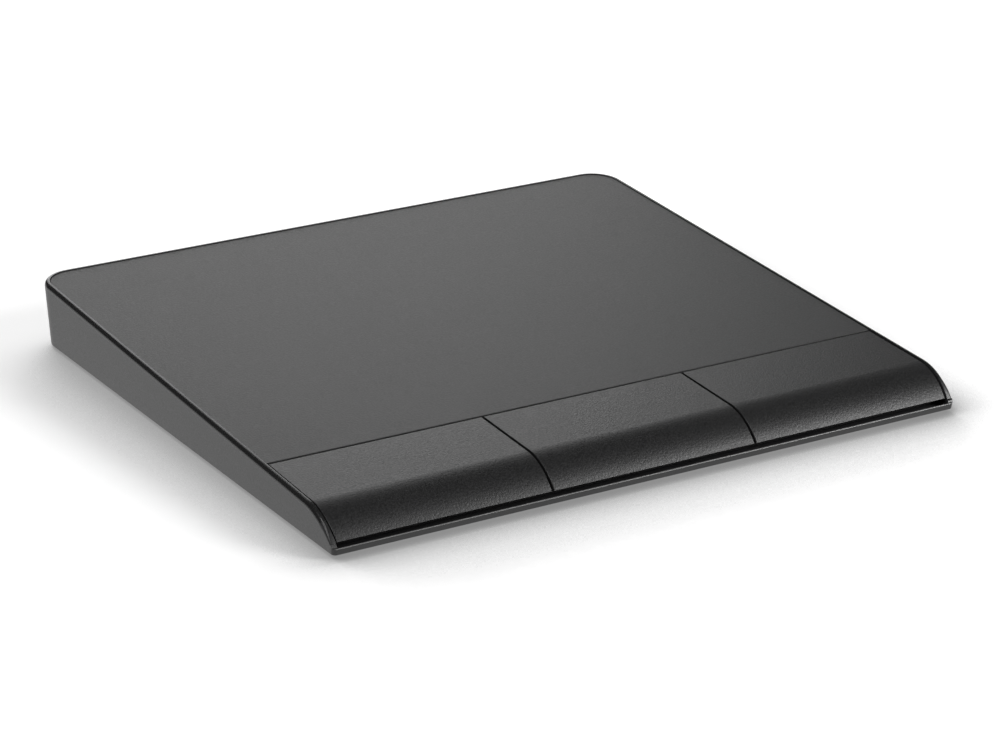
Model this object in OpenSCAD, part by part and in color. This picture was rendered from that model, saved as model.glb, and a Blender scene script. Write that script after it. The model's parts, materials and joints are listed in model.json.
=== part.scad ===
// Cordless desk trackpad: a wedge-shaped tray, a full-width touch panel and three
// sprung buttons across the front that pivot on one rod under the panel's front edge.
// Millimetres, +X right, +Y to the back, +Z up. The feet stand on z = 0.

/* [Tray] */
// Width over the two side rims
body_w = 160; // [145:1:180]
// Depth from the front lip to the back rim
body_d = 148.5; // [135:0.5:165]
// Height of the back rim above the underside of the tray
back_h = 16.15; // [15.8:0.05:20]
// Height of the rim above the underside of the tray at the panel's front seam
seam_h = 9.45; // [9.3:0.05:10.5]
// Lean of the outer walls from the rim to the floor, in degrees
draft = 3.6; // [1:0.2:5]
// Plan radius of the two back corners
back_corner_r = 8; // [5:0.5:14]
// Plan radius of the two front corners
front_corner_r = 2.5; // [2:0.1:5]
// Thickness of the floor
floor_t = 1.6; // [1.4:0.1:2]
// Thickness of the side and back walls below the panel
wall_t = 2.6; // [2.2:0.1:4]
// Width of the thin rim beside the panel and the buttons
rim_w = 1.3; // [0.8:0.05:1.5]
// How far the rim stands above the panel
rim_rise = 0.2; // [0:0.05:0.5]
// Height of the front lip above the underside of the tray
lip_h = 1.9; // [1.7:0.1:2.4]
// Thickness of the front lip
lip_t = 1; // [0.8:0.1:1.4]
// Height of the stiffening ribs on the floor
floor_rib_h = 2.4; // [1.5:0.1:3]
// Thickness of the stiffening ribs on the floor
floor_rib_t = 1.2; // [0.8:0.1:2]
// Distance of the long floor ribs from the centre line
floor_rib_x = 40; // [34:1:48]

/* [Touch panel stack] */
// Thickness of the touch panel
panel_t = 1.2; // [0.8:0.1:1.4]
// Gap between the panel and the rim
panel_gap = 0.12; // [0.05:0.01:0.3]
// Thickness of the adhesive sheet under the panel
adhesive_t = 0.2; // [0.1:0.05:0.3]
// Thickness of the sensor board
board_t = 1; // [0.8:0.1:1.1]
// Thickness of the support frame's plate
frame_t = 1.5; // [1:0.1:1.8]
// Gap between the tray's walls and the board and frame
inner_gap = 0.3; // [0.2:0.05:0.8]

/* [Buttons] */
// Depth of the button row, from the front lip to the seam with the panel
button_d = 31.1; // [28:0.1:34]
// Width of the middle button, seam to seam
middle_w = 52.6; // [46:0.2:60]
// Thickness of a button's skin
button_t = 1.6; // [1.2:0.1:1.8]
// Radius of the rounded nose, at the rim
nose_r = 14; // [12:0.1:16]
// Slope of the nose where it ends, in degrees
nose_angle = 55; // [50:1:60]
// How far the nose ends behind the front of the lip
nose_setback = 1.1; // [1:0.1:2]
// Open gap between the lip and the lower edge of the buttons
lip_gap = 0.8; // [0.8:0.1:1.5]
// Gap at the seam between the panel and the buttons
seam_gap = 0.3; // [0.2:0.05:0.6]
// Gap between two buttons
button_gap = 0.45; // [0.3:0.05:0.8]
// Gap between an outer button and the rim
button_side_gap = 0.3; // [0.2:0.05:0.5]
// Depth of the stiffening ribs below the top of a button
rib_depth = 2.5; // [2:0.1:2.8]
// Thickness of the stiffening ribs
rib_t = 1.2; // [0.8:0.1:2]
// Depth of the pocket in the side walls that the outer buttons sink into
pocket_depth = 3.6; // [3.4:0.1:4.5]
// How far that pocket runs back under the panel
pocket_back = 1; // [0.8:0.1:2]

/* [Button hinge] */
// Radius of the hinge rod
rod_r = 1; // [0.8:0.05:1.2]
// Distance of the hinge axis behind the seam
hinge_back = 5; // [4.5:0.1:7]
// Radius of the eyes on the button arms
eye_r = 2; // [1.8:0.1:2.2]
// Width of a button arm
arm_w = 4; // [3:0.5:6]
// Distance of the arms from the ends of a button
arm_inset = 10; // [7:0.5:14]
// Length of an arm's root under the button, in front of the seam
arm_root = 6; // [4:0.5:8]
// Radial running clearance of the arms on the rod
hinge_clear = 0.05; // [0.02:0.01:0.1]
// Radial clearance of the rod in the frame's bar
rod_seat_clear = 0.02; // [0.01:0.01:0.05]
// Room around an arm in its notch
notch_clear = 0.35; // [0.25:0.05:0.6]
// Wall of the hinge bar below the rod
bar_wall = 1.2; // [1:0.1:1.3]
// Wall of the hinge bar in front of the rod
bar_front_wall = 2.2; // [1.5:0.1:2.6]
// Web of the hinge bar behind the notches
bar_web = 1; // [0.8:0.1:2]

/* [Button switches] */
// Distance of the switches behind the front of the lip
switch_y = 15.5; // [14.5:0.5:18]
// Side of a square switch body
switch_w = 6; // [5:0.5:7]
// Height of a switch body
switch_h = 2; // [1.8:0.1:2.2]
// Radius of a switch plunger
plunger_r = 1.6; // [1.2:0.1:2]
// Height of a plunger above its switch
plunger_rise = 0.7; // [0.6:0.05:0.9]
// Length of a plunger inside its switch
plunger_stem = 0.8; // [0.6:0.1:1]
// Room below the plunger for its travel
plunger_travel = 0.5; // [0.45:0.05:0.6]
// Radial clearance of a plunger in its switch
plunger_clear = 0.08; // [0.05:0.01:0.1]
// Gap between a button's boss and its plunger
boss_gap = 0.15; // [0.1:0.05:0.3]
// Gap between the ends of the switch board and the tray's walls
switch_board_gap = 6; // [2:0.5:9]
// Distance of the end screws from the ends of the switch board
board_screw_from_end = 5.6; // [4:0.2:9]
// Depth of the switch board
switch_board_d = 13; // [11:0.5:14]
// Thickness of the switch board
switch_board_t = 1; // [0.8:0.1:1.2]
// Height of the boss under a button that presses its plunger
button_boss_h = 0.6; // [0.4:0.05:0.8]
// How far that boss is wider than the plunger, all round
button_boss_wider = 0.6; // [0.3:0.1:1]
// Radius of the standoffs under the switch board
standoff_r = 2.4; // [2:0.1:3]
// Radius of a board screw's shank
board_screw_r = 0.8; // [0.6:0.05:1]
// Radius of a board screw's head
board_screw_head_r = 1.6; // [1.2:0.1:2]
// Height of a board screw's head
board_screw_head_h = 1.2; // [0.8:0.1:1.4]
// Depth of a board screw's thread in its standoff
board_screw_bite = 1.4; // [1:0.1:1.6]

/* [Battery bay] */
// Radius of a battery cell
cell_r = 5.25; // [4.9:0.05:5.3]
// Length of a battery cell over its button end
cell_l = 44.5; // [43:0.1:46]
// Radius of a cell's button end
cell_end_r = 2; // [1.5:0.1:2.5]
// Height of a cell's button end
cell_end_l = 0.9; // [0.8:0.1:1.2]
// Distance between the axes of the two cells
cell_pitch = 11; // [10.8:0.1:11.4]
// Distance of the bay's centre in front of the back rim
bay_from_back = 16.5; // [16.3:0.1:19]
// Length taken by a spring contact
spring_l = 4.2; // [3.5:0.1:6]
// Thickness of the contact metal
contact_t = 0.4; // [0.3:0.05:0.5]
// Width of a contact
contact_w = 7; // [5:0.5:8]
// Room around the cells
cell_clear = 0.4; // [0.3:0.05:0.6]
// Thickness of the bay's walls
bay_wall = 1.2; // [1:0.1:1.6]
// Thickness of the battery door
door_t = 1.3; // [1.1:0.05:1.4]
// Overlap of the floor's rim over the door
door_overlap = 1.8; // [1.5:0.1:2.5]
// Gap around the battery door
door_gap = 0.2; // [0.15:0.05:0.4]
// Gap between the cells and the door
cell_door_gap = 0.15; // [0.1:0.05:0.2]
// Width of a door tab
tab_w = 8; // [6:0.5:12]
// Reach of a door tab over the floor
tab_l = 2; // [1.5:0.1:2.5]
// Thickness of a door tab
tab_t = 0.8; // [0.6:0.1:1]
// Distance of the door tabs from the ends of the bay
tab_from_end = 8.3; // [6:0.1:14]
// Room in front of and above a door tab, for its swing
tab_room = 1; // [0.8:0.1:1.5]
// Corner radius of the hole for the door
door_corner_r = 1.5; // [0.8:0.1:2]
// Length of the finger grooves on the door
grip_l = 14; // [10:1:20]
// Radius of the finger grooves
grip_r = 0.5; // [0.3:0.05:0.6]
// Spacing of the finger grooves
grip_pitch = 2; // [1.6:0.1:2.5]
// Number of finger grooves
grip_count = 4; // [3:1:5]

/* [Power switch] */
// Distance of the power switch to the left of the centre line
power_x = 45; // [40:1:52]
// Length of the slider knob
knob_l = 3; // [2:0.5:4]
// Width of the slider knob
knob_w = 2; // [1.6:0.1:3]
// Travel of the slider to each side
knob_travel = 1.2; // [1:0.1:1.5]
// Gap around the knob in its slot
knob_gap = 0.25; // [0.15:0.05:0.4]
// How far the knob is sunk into the underside
knob_sunk = 0.2; // [0.1:0.05:0.4]
// Radius of the grip grooves across the knob
knob_groove_r = 0.25; // [0.15:0.05:0.3]
// Length of the power switch's housing
power_body_l = 12; // [9:0.5:14]
// Width of the power switch's housing
power_body_w = 5; // [4:0.5:7]
// Height of the power switch's housing
power_body_h = 3.6; // [3:0.1:5]
// Depth of the slider's room in that housing
power_room = 1.4; // [1:0.1:2]

/* [Electronics] */
// Half the width of the frame's window for the electronics
window_half_w = 32; // [26:1:40]
// Length of that window
window_l = 36; // [32:1:44]
// Distance of that window behind the front of the sensor board
window_from_front = 2; // [1:0.5:4]
// Side of the touch controller chip
chip_w = 9; // [7:0.5:12]
// Side of the small memory chip
small_chip_w = 5; // [3:0.5:6]
// Height of the chips
chip_h = 1; // [0.7:0.1:1.4]
// Distance of the chips to the left of the centre line
chip_x = 16; // [12:1:22]
// Length of the radio module
radio_l = 16; // [12:0.5:20]
// Width of the radio module
radio_w = 11; // [9:0.5:13]
// Thickness of the radio module's board
radio_t = 0.8; // [0.6:0.1:1]
// Height of the radio module's shield
shield_h = 1.4; // [1:0.1:2]
// Margin of the shield inside the radio module's board
shield_margin = 1.5; // [1:0.1:3]
// Distance of the radio module to the right of the centre line
radio_x = 8; // [4:1:14]
// Spacing of the two rows of parts in the window
row_pitch = 14; // [12:0.5:18]
// Length of a ribbon socket
socket_l = 10; // [9:0.5:13]
// Width of a ribbon socket
socket_w = 3; // [2:0.5:4]
// Height of a ribbon socket
socket_h = 1.2; // [1:0.1:1.5]
// Width of the ribbon cable
ribbon_w = 8; // [6:0.5:9]
// Thickness of the ribbon cable
ribbon_t = 0.2; // [0.1:0.05:0.3]
// Distance of the ribbon cable to the right of the centre line
ribbon_x = 20.3; // [14:0.5:24]
// Height of the ribbon cable above the floor where it passes the hinge bar
ribbon_clear = 1; // [0.6:0.1:1.4]
// Straight length of the ribbon cable at each socket
ribbon_straight = 2.5; // [1.5:0.5:4]

/* [Feet and screws] */
// Height of the feet below the tray
foot_h = 0.8; // [0.6:0.1:1.5]
// Radius of a foot
foot_r = 5; // [4:0.5:6]
// Depth of the recess that holds a foot
foot_seat = 0.8; // [0.5:0.1:1]
// Chamfer round the lower edge of a foot
foot_chamfer = 0.3; // [0.2:0.05:0.5]
// Gap round a foot in its recess
foot_gap = 0.1; // [0.05:0.05:0.2]
// Distance of the feet from the side rims
foot_from_side = 13.5; // [12:0.5:17]
// Distance of the feet from the front lip and the back rim
foot_from_end = 12.5; // [11:0.5:15]
// Radius of a case screw's shank
screw_r = 1; // [0.9:0.05:1.2]
// Radius of a case screw's head
screw_head_r = 2.1; // [1.8:0.1:2.3]
// Height of a case screw's head
screw_head_h = 1.4; // [1.2:0.1:1.6]
// Length of a case screw's shank
screw_l = 4.5; // [4:0.5:5]
// Room beyond the tip of a case screw
screw_tip_room = 0.3; // [0.2:0.1:0.5]
// Width of the cross slots in the screw heads
cross_w = 0.5; // [0.4:0.1:0.8]
// Depth of the cross slots
cross_depth = 0.5; // [0.4:0.1:0.7]
// Depth of the sunk seat for a case screw's head
screw_seat = 2.4; // [2:0.1:2.8]
// Radius of the screw bosses in the tray
boss_r = 3.4; // [3:0.1:4]
// Height of the screw bosses above the floor
boss_h = 3; // [2.6:0.1:3.2]
// Radius of the frame's posts
post_r = 3; // [2.6:0.1:3.4]
// Clearance around the screws
screw_clear = 0.1; // [0.05:0.05:0.2]
// Distance of the case screws from the side rims
screw_from_side = 11.5; // [10:0.5:13]
// Distance of the front case screws from the front lip
screw_from_front = 44; // [40:1:50]
// Distance of the back case screws from the back rim
screw_from_back = 34; // [30:1:45]

/* [Hidden] */
$fn = 64;

plastic = [0.29, 0.29, 0.29];
panel_grey = [0.37, 0.37, 0.37];
board_green = [0.08, 0.3, 0.16];
steel = [0.72, 0.72, 0.74];
gold = [0.8, 0.66, 0.35];
black = [0.07, 0.07, 0.07];

// Heights in the upright frame
y_front = -body_d / 2;
y_back = body_d / 2;
z_base = foot_h;
z_floor = z_base + floor_t;
z_lip = z_base + lip_h;
z_edge = z_lip + lip_gap;
z_boss = z_floor + boss_h;
// Length of a cut that has to pass right through the part
reach = 2 * body_d;
// How far a shorter cut runs past the face that it opens
overcut = 1;
// Slope of the touch surface, falling to the front, in degrees
tilt = atan((back_h - seam_h) / (body_d - button_d));
function top_z(y) = z_base + back_h - tan(tilt) * (y_back - y);

// The sloping frame: s runs back along the touch surface, n stands square to it
z_slope = top_z(0);
function slope_s(y, z) = y * cos(tilt) + (z - z_slope) * sin(tilt);
function slope_n(y, z) = -y * sin(tilt) + (z - z_slope) * cos(tilt);
function slope_y(s, n) = s * cos(tilt) - n * sin(tilt);
function slope_z(s, n) = z_slope + s * sin(tilt) + n * cos(tilt);
function level_z(y, n) = top_z(y) + n / cos(tilt);

// Levels of the stack under the touch surface
panel_n = -rim_rise - panel_t;
adhesive_n = panel_n - adhesive_t;
board_n = adhesive_n - board_t;
frame_n = board_n - frame_t;

// Limits along the slope
shell_n = -(back_h + foot_h);
seam_s = (y_front + button_d) / cos(tilt);
back_s = y_back / cos(tilt);
front_s = slope_s(y_front, z_lip) + slope_n(y_front, z_lip) * tan(draft);
inner_half = body_w / 2 - wall_t;
inner_back_s = back_s - wall_t;
inner_r = back_corner_r - wall_t;

// Nose arc of the rim, tangent to the sloping top
nose_y = y_front + nose_setback + nose_r * sin(nose_angle);
nose_c = [nose_y, top_z(nose_y) - nose_r / cos(tilt)];

// Buttons, counted from the left
seam_x = middle_w / 2;
button_from = [-body_w / 2, -seam_x + button_gap / 2, seam_x + button_gap / 2];
button_to = [-seam_x - button_gap / 2, seam_x - button_gap / 2, body_w / 2];
switch_x = [for (i = [-1, 0, 1]) i * (body_w / 2 + seam_x) / 2];
switch_row_y = y_front + switch_y;
arm_x = [for (i = [0:2]) each [button_from[i] + arm_inset, button_to[i] - arm_inset]];
function rib_x(i) = [
    button_from[i] + arm_inset / 2,
    switch_x[i] - switch_w,
    switch_x[i] + switch_w,
    button_to[i] - arm_inset / 2
];

// Hinge line
hinge_s = seam_s + hinge_back;
hinge_n = panel_n - notch_clear - eye_r;
bar_front_s = hinge_s - rod_r - bar_front_wall;
bar_back_s = hinge_s + eye_r + notch_clear + bar_web;
bar_n = hinge_n - rod_r - bar_wall;
board_front_s = bar_back_s + inner_gap;

// Switch board, hung from the underside of the buttons downwards
plunger_top_z = level_z(switch_row_y, -rim_rise - button_t) - button_boss_h - boss_gap;
switch_top_z = plunger_top_z - plunger_rise - switch_h;
switch_board_z = switch_top_z - switch_board_t;
switch_board_l = 2 * (inner_half - switch_board_gap);
switch_board_back = switch_row_y + switch_board_d / 2;
board_screw_end_x = switch_board_l / 2 - board_screw_from_end;
board_screw_xs = [-board_screw_end_x, -seam_x, seam_x, board_screw_end_x];

// Battery bay
bay_y = y_back - bay_from_back;
bay_l = cell_l + spring_l + 2 * contact_t + cell_clear;
bay_w = cell_pitch + 2 * cell_r + cell_clear;
bay_z = level_z(bay_y - bay_w / 2 - bay_wall, board_n) - inner_gap;
door_hole_l = bay_l + 2 * door_overlap;
door_hole_w = bay_w + 2 * door_overlap;
bay_flange = door_overlap + floor_t;
door_front = bay_y - door_hole_w / 2 + door_gap;
tab_x = [-1, 1] * (bay_l / 2 - tab_from_end);
cell_z = z_base + door_t + cell_door_gap + cell_r;
cell_y = [bay_y - cell_pitch / 2, bay_y + cell_pitch / 2];

// Power switch
slot_l = knob_l + 2 * (knob_travel + knob_gap);
slot_w = knob_w + 2 * knob_gap;
slot_r = slot_w / 4;

// Electronics window in the frame, and the rows of parts that hang in it
window_front_s = board_front_s + window_from_front;
front_row_s = window_front_s + window_l / 2 - row_pitch / 2;
back_row_s = front_row_s + row_pitch;
socket = [socket_l, socket_w, socket_h];

foot_x = body_w / 2 - foot_from_side;
foot_ys = [y_front + foot_from_end, y_back - foot_from_end];
screw_x = body_w / 2 - screw_from_side;
screw_front_y = y_front + screw_from_front;
screw_back_y = y_back - screw_from_back;
screw_ys = [screw_front_y, (screw_front_y + screw_back_y) / 2, screw_back_y];
screw_head_z = z_base + screw_seat;

// Places children in the sloping frame, n above the touch surface's rim line
module on_slope(n = 0) {
    translate([0, 0, z_slope]) rotate([tilt, 0, 0]) translate([0, 0, n]) children();
}

// Stands a side view, drawn in Y and Z, upright and gives it a width along X
module along_x(w) {
    rotate([90, 0, 90]) linear_extrude(height = w, center = true) children();
}

// Outline with two round back corners, in the plane of the touch surface
module plan_area(half_w, s_front, s_back, r) {
    translate([-half_w, s_front]) square([2 * half_w, s_back - r - s_front]);
    translate([r - half_w, s_front]) square([2 * (half_w - r), s_back - s_front]);
    for (side = [-1, 1])
        translate([side * (half_w - r), s_back - r]) circle(r);
}

// Rectangle with four round corners, centred
module rounded_rect(size, r) {
    square([size.x - 2 * r, size.y], center = true);
    square([size.x, size.y - 2 * r], center = true);
    for (x = [-1, 1], y = [-1, 1])
        translate([x * (size.x / 2 - r), y * (size.y / 2 - r)]) circle(r);
}

// Side view of all that lies under the rim's curve, sunk by an inset
module under_curve(inset) {
    r = nose_r - inset;
    translate(nose_c) circle(r);
    polygon([
        [nose_c.x - r, nose_c.y],
        [nose_c.x - r, -reach],
        [reach, -reach],
        [reach, top_z(reach) - inset / cos(tilt)],
        nose_c + r * [-sin(tilt), cos(tilt)]
    ]);
}

// Side view of a layer of a button, between two depths under the curve
module button_layer(upper, lower) {
    difference() {
        under_curve(upper);
        under_curve(lower);
        translate([-reach, -reach]) square([2 * reach, reach + z_edge]);
        translate([0, z_slope]) rotate(tilt)
            translate([seam_s - seam_gap / 2, -reach]) square(2 * reach);
    }
}

// Space between the two leaning side walls, sunk by an inset
module between_walls(inset) {
    low = body_w / 2 - inset + shell_n * tan(draft);
    high = body_w / 2 - inset + back_h * tan(draft);
    on_slope() translate([0, reach / 2, 0]) rotate([90, 0, 0])
        linear_extrude(reach)
            polygon([[-low, shell_n], [low, shell_n], [high, back_h], [-high, back_h]]);
}

// Outer form of the tray, standing past the curve that its top is then cut to
module leaning_block() {
    lean = -shell_n * tan(draft);
    flare = overcut * tan(draft);
    on_slope(shell_n) hull() {
        for (side = [-1, 1]) {
            translate([side * (body_w / 2 - back_corner_r), back_s - back_corner_r, 0])
                cylinder(h = overcut - shell_n, r1 = back_corner_r - lean,
                    r2 = back_corner_r + flare, $fn = 48);
            translate([side * (body_w / 2 - front_corner_r), front_s + front_corner_r, 0])
                cylinder(h = overcut - shell_n, r1 = front_corner_r - lean,
                    r2 = front_corner_r + flare, $fn = 32);
        }
    }
}

// Places children at each case screw
module at_case_screws() {
    for (side = [-1, 1], y = screw_ys) translate([side * screw_x, y, 0]) children();
}

// Places children at each screw of the switch board
module at_board_screws() {
    for (x = board_screw_xs) translate([x, switch_row_y, 0]) children();
}

// Hollow inside of the tray, and the places of the panel and of the buttons
module tray_hollow() {
    intersection() {
        on_slope(-reach) linear_extrude(2 * reach)
            plan_area(inner_half, slope_s(y_front + lip_t, z_floor), inner_back_s, inner_r);
        translate([-body_w, -body_d, z_floor]) cube([2 * body_w, 2 * body_d, reach]);
    }
    on_slope(panel_n) linear_extrude(back_h)
        plan_area(body_w / 2 - rim_w, seam_s, back_s - rim_w, back_corner_r - rim_w);
    intersection() {
        between_walls(rim_w);
        along_x(2 * body_w) difference() {
            translate([y_front - body_d, z_lip]) square([body_d + button_d + pocket_back, reach]);
            under_curve(pocket_depth);
        }
    }
}

// Walls round the battery cells, with a flange that carries the door's rim
module bay_walls() {
    translate([0, bay_y, z_floor]) {
        linear_extrude(bay_wall)
            square([bay_l + 2 * bay_flange, bay_w + 2 * bay_flange], center = true);
        linear_extrude(bay_z - z_floor)
            square([bay_l + 2 * bay_wall, bay_w + 2 * bay_wall], center = true);
    }
}

// Ribs that stiffen the floor: two long ones, and one across at each rear row of case screws
module floor_ribs() {
    front = slope_y(bar_back_s, bar_n);
    back = bay_y - bay_w / 2 - bay_flange;
    for (side = [-1, 1])
        translate([side * floor_rib_x - floor_rib_t / 2, front, z_floor - floor_t / 2])
            cube([floor_rib_t, back - front, floor_rib_h + floor_t / 2]);
    for (y = [screw_ys[1], screw_ys[2]])
        translate([-screw_x, y - floor_rib_t / 2, z_floor - floor_t / 2])
            cube([2 * screw_x, floor_rib_t, floor_rib_h + floor_t / 2]);
}

module base_tray() color(plastic) difference() {
    union() {
        difference() {
            intersection() {
                leaning_block();
                along_x(2 * body_w) {
                    under_curve(0);
                    translate([y_front - overcut, 0]) square([button_d, z_lip]);
                }
                translate([-body_w, -body_d, z_base]) cube([2 * body_w, 2 * body_d, reach]);
            }
            tray_hollow();
        }
        intersection() {
            bay_walls();
            translate([-body_w, -body_d, 0]) cube([2 * body_w, body_d + y_back - wall_t, reach]);
        }
        floor_ribs();
        at_case_screws() translate([0, 0, z_floor - floor_t / 2])
            cylinder(h = boss_h + floor_t / 2, r = boss_r);
        at_board_screws() translate([0, 0, z_floor - floor_t / 2])
            cylinder(h = switch_board_z - z_floor + floor_t / 2, r = standoff_r);
    }
    translate([0, bay_y, 0]) linear_extrude(z_floor)
        rounded_rect([door_hole_l, door_hole_w], door_corner_r);
    translate([0, bay_y, 0]) linear_extrude(reach) square([bay_l, bay_w], center = true);
    for (x = tab_x)
        translate([x - tab_w / 2 - notch_clear, door_front - tab_l - tab_room, z_floor])
            cube([tab_w + 2 * notch_clear, tab_l + tab_room + 2 * door_overlap,
                tab_l + tab_t + tab_room]);
    at_case_screws() {
        cylinder(h = screw_head_z, r = screw_head_r + screw_clear);
        cylinder(h = reach, r = screw_r + screw_clear);
    }
    at_board_screws() translate([0, 0, switch_board_z - board_screw_bite - screw_clear])
        cylinder(h = reach, r = board_screw_r + screw_clear);
    for (side = [-1, 1], y = foot_ys) translate([side * foot_x, y, 0])
        cylinder(h = z_base + foot_seat, r = foot_r);
    translate([-power_x, bay_y, 0]) linear_extrude(z_floor)
        rounded_rect([slot_l, slot_w], slot_r);
}

module support_frame() color(black) difference() {
    union() {
        on_slope(frame_n) linear_extrude(frame_t) difference() {
            plan_area(inner_half - inner_gap, bar_front_s, inner_back_s - inner_gap,
                inner_r - inner_gap);
            translate([-window_half_w, window_front_s]) square([2 * window_half_w, window_l]);
            translate([-bay_l / 2 - bay_flange - inner_gap,
                slope_s(bay_y - bay_w / 2 - bay_wall - inner_gap, bay_z)])
                square([bay_l + 2 * (bay_flange + inner_gap), reach]);
        }
        on_slope(bar_n) translate([inner_gap - inner_half, bar_front_s, 0])
            cube([2 * (inner_half - inner_gap), bar_back_s - bar_front_s, panel_n - bar_n]);
        for (side = [-1, 1], y = screw_ys) translate([side * screw_x, y, z_boss])
            cylinder(h = level_z(y, frame_n) + frame_t / 2 - z_boss, r = post_r);
    }
    for (x = arm_x)
        on_slope(bar_n - overcut)
            translate([x - arm_w / 2 - notch_clear, bar_front_s - overcut, 0])
                cube([arm_w + 2 * notch_clear, bar_back_s - bar_web - bar_front_s + overcut,
                    panel_n - bar_n + 2 * overcut]);
    on_slope(hinge_n) translate([0, hinge_s, 0]) rotate([0, 90, 0])
        cylinder(h = 2 * body_w, r = rod_r + rod_seat_clear, center = true);
    at_case_screws() translate([0, 0, screw_head_z])
        cylinder(h = screw_l + screw_tip_room, r = screw_r + screw_clear);
}

module touch_panel() color(panel_grey) on_slope(panel_n) linear_extrude(panel_t)
    plan_area(body_w / 2 - rim_w - panel_gap, seam_s + seam_gap / 2,
        back_s - rim_w - panel_gap, back_corner_r - rim_w - panel_gap);

// A layer of the stack that fills the tray's inside behind the hinge bar
module stack_layer(n, t) {
    on_slope(n) linear_extrude(t)
        plan_area(inner_half - inner_gap, board_front_s, inner_back_s - inner_gap,
            inner_r - inner_gap);
}

module panel_adhesive() color([0.85, 0.83, 0.78]) stack_layer(adhesive_n, adhesive_t);

module sensor_board() color(board_green) stack_layer(board_n, board_t);

// A block that hangs under the sensor board
module under_board(x, s, size) {
    on_slope(board_n - size.z) translate([x - size.x / 2, s - size.y / 2, 0]) cube(size);
}

module touch_chip() color(black) {
    under_board(-chip_x, front_row_s, [chip_w, chip_w, chip_h]);
    under_board(-chip_x, back_row_s, [small_chip_w, small_chip_w, chip_h]);
}

module radio_module() color(board_green) {
    shield = [radio_l - 2 * shield_margin, radio_w - 2 * shield_margin, radio_t + shield_h];
    under_board(radio_x, back_row_s, [radio_l, radio_w, radio_t]);
    under_board(radio_x, back_row_s, shield);
}

// One button: skin, end ribs, switch boss and two hinge arms
module button(i) {
    mid = (button_from[i] + button_to[i]) / 2;
    difference() {
        union() {
            intersection() {
                between_walls(rim_w + button_side_gap);
                union() {
                    translate([mid, 0, 0]) along_x(button_to[i] - button_from[i])
                        button_layer(rim_rise, rim_rise + button_t);
                    for (x = rib_x(i))
                        translate([x, 0, 0]) along_x(rib_t)
                            button_layer(rim_rise + button_t / 2, rim_rise + rib_depth);
                }
            }
            intersection() {
                translate([switch_x[i], switch_row_y, plunger_top_z + boss_gap])
                    cylinder(h = reach, r = plunger_r + button_boss_wider);
                along_x(2 * body_w) under_curve(rim_rise + button_t / 2);
            }
            for (x = [arm_x[2 * i], arm_x[2 * i + 1]])
                translate([x, 0, 0]) along_x(arm_w) arm_side();
        }
        on_slope(hinge_n) translate([0, hinge_s, 0]) rotate([0, 90, 0])
            cylinder(h = 2 * body_w, r = rod_r + hinge_clear, center = true);
    }
}

// Side view of a hinge arm, from under the button's skin to the eye on the rod
module arm_side() {
    root = seam_s - arm_root;
    step = seam_s - seam_gap / 2 - notch_clear;
    translate([0, z_slope]) rotate(tilt) {
        translate([hinge_s, hinge_n]) circle(eye_r);
        polygon([
            [root, -rim_rise - button_t / 2],
            [step, -rim_rise - button_t / 2],
            [step, hinge_n + eye_r],
            [hinge_s, hinge_n + eye_r],
            [hinge_s, hinge_n - eye_r],
            [step, hinge_n - eye_r / 2],
            [root, -rim_rise - rib_depth]
        ]);
    }
}

module left_button() color(plastic) button(0);
module middle_button() color(plastic) button(1);
module right_button() color(plastic) button(2);

module hinge_rod() color(steel) on_slope(hinge_n) translate([0, hinge_s, 0]) rotate([0, 90, 0])
    cylinder(h = 2 * (inner_half - inner_gap), r = rod_r, center = true);

module switch_board() color(board_green) difference() {
    translate([-switch_board_l / 2, switch_row_y - switch_board_d / 2, switch_board_z])
        cube([switch_board_l, switch_board_d, switch_board_t]);
    at_board_screws() cylinder(h = reach, r = board_screw_r + screw_clear);
}

module switch_body(i) {
    top = switch_top_z + switch_h;
    difference() {
        translate([switch_x[i] - switch_w / 2, switch_row_y - switch_w / 2, switch_top_z])
            cube([switch_w, switch_w, switch_h]);
        translate([switch_x[i], switch_row_y, top - plunger_stem - plunger_travel])
            cylinder(h = switch_h, r = plunger_r + plunger_clear);
    }
}

module left_switch() color(steel) switch_body(0);
module middle_switch() color(steel) switch_body(1);
module right_switch() color(steel) switch_body(2);

module plunger(i) {
    translate([switch_x[i], switch_row_y, plunger_top_z - plunger_rise - plunger_stem])
        cylinder(h = plunger_rise + plunger_stem, r = plunger_r);
}

module left_plunger() color(black) plunger(0);
module middle_plunger() color(black) plunger(1);
module right_plunger() color(black) plunger(2);

// Flat cable from the switch board, under the hinge bar, up to the sensor board
module ribbon_cable() color([0.85, 0.85, 0.8]) {
    hinge_y = slope_y(hinge_s, hinge_n);
    start = [switch_board_back, switch_top_z + socket.z / 2];
    low_z = z_floor + ribbon_clear;
    end_s = front_row_s - socket.y / 2;
    end = [slope_y(end_s, board_n), slope_z(end_s, board_n) - socket.z / 2];
    path = [
        start,
        start + [ribbon_straight, 0],
        [hinge_y - 2 * eye_r, low_z],
        [hinge_y + 2 * eye_r, low_z],
        end - [ribbon_straight, 0],
        end
    ];
    half = [0, ribbon_t / 2];
    translate([ribbon_x, 0, 0]) along_x(ribbon_w)
        polygon([for (p = path) p + half, for (i = [len(path) - 1:-1:0]) path[i] - half]);
}

module ribbon_sockets() color(black) {
    translate([ribbon_x - socket.x / 2, switch_board_back - socket.y, switch_top_z]) cube(socket);
    under_board(ribbon_x, front_row_s, socket);
}

// One cell lying along X, its button end pointing to +X
module cell() rotate([0, 90, 0]) {
    translate([0, 0, -cell_l / 2]) cylinder(h = cell_l - cell_end_l, r = cell_r);
    translate([0, 0, cell_l / 2 - cell_end_l]) cylinder(h = cell_end_l, r = cell_end_r);
}

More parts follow.
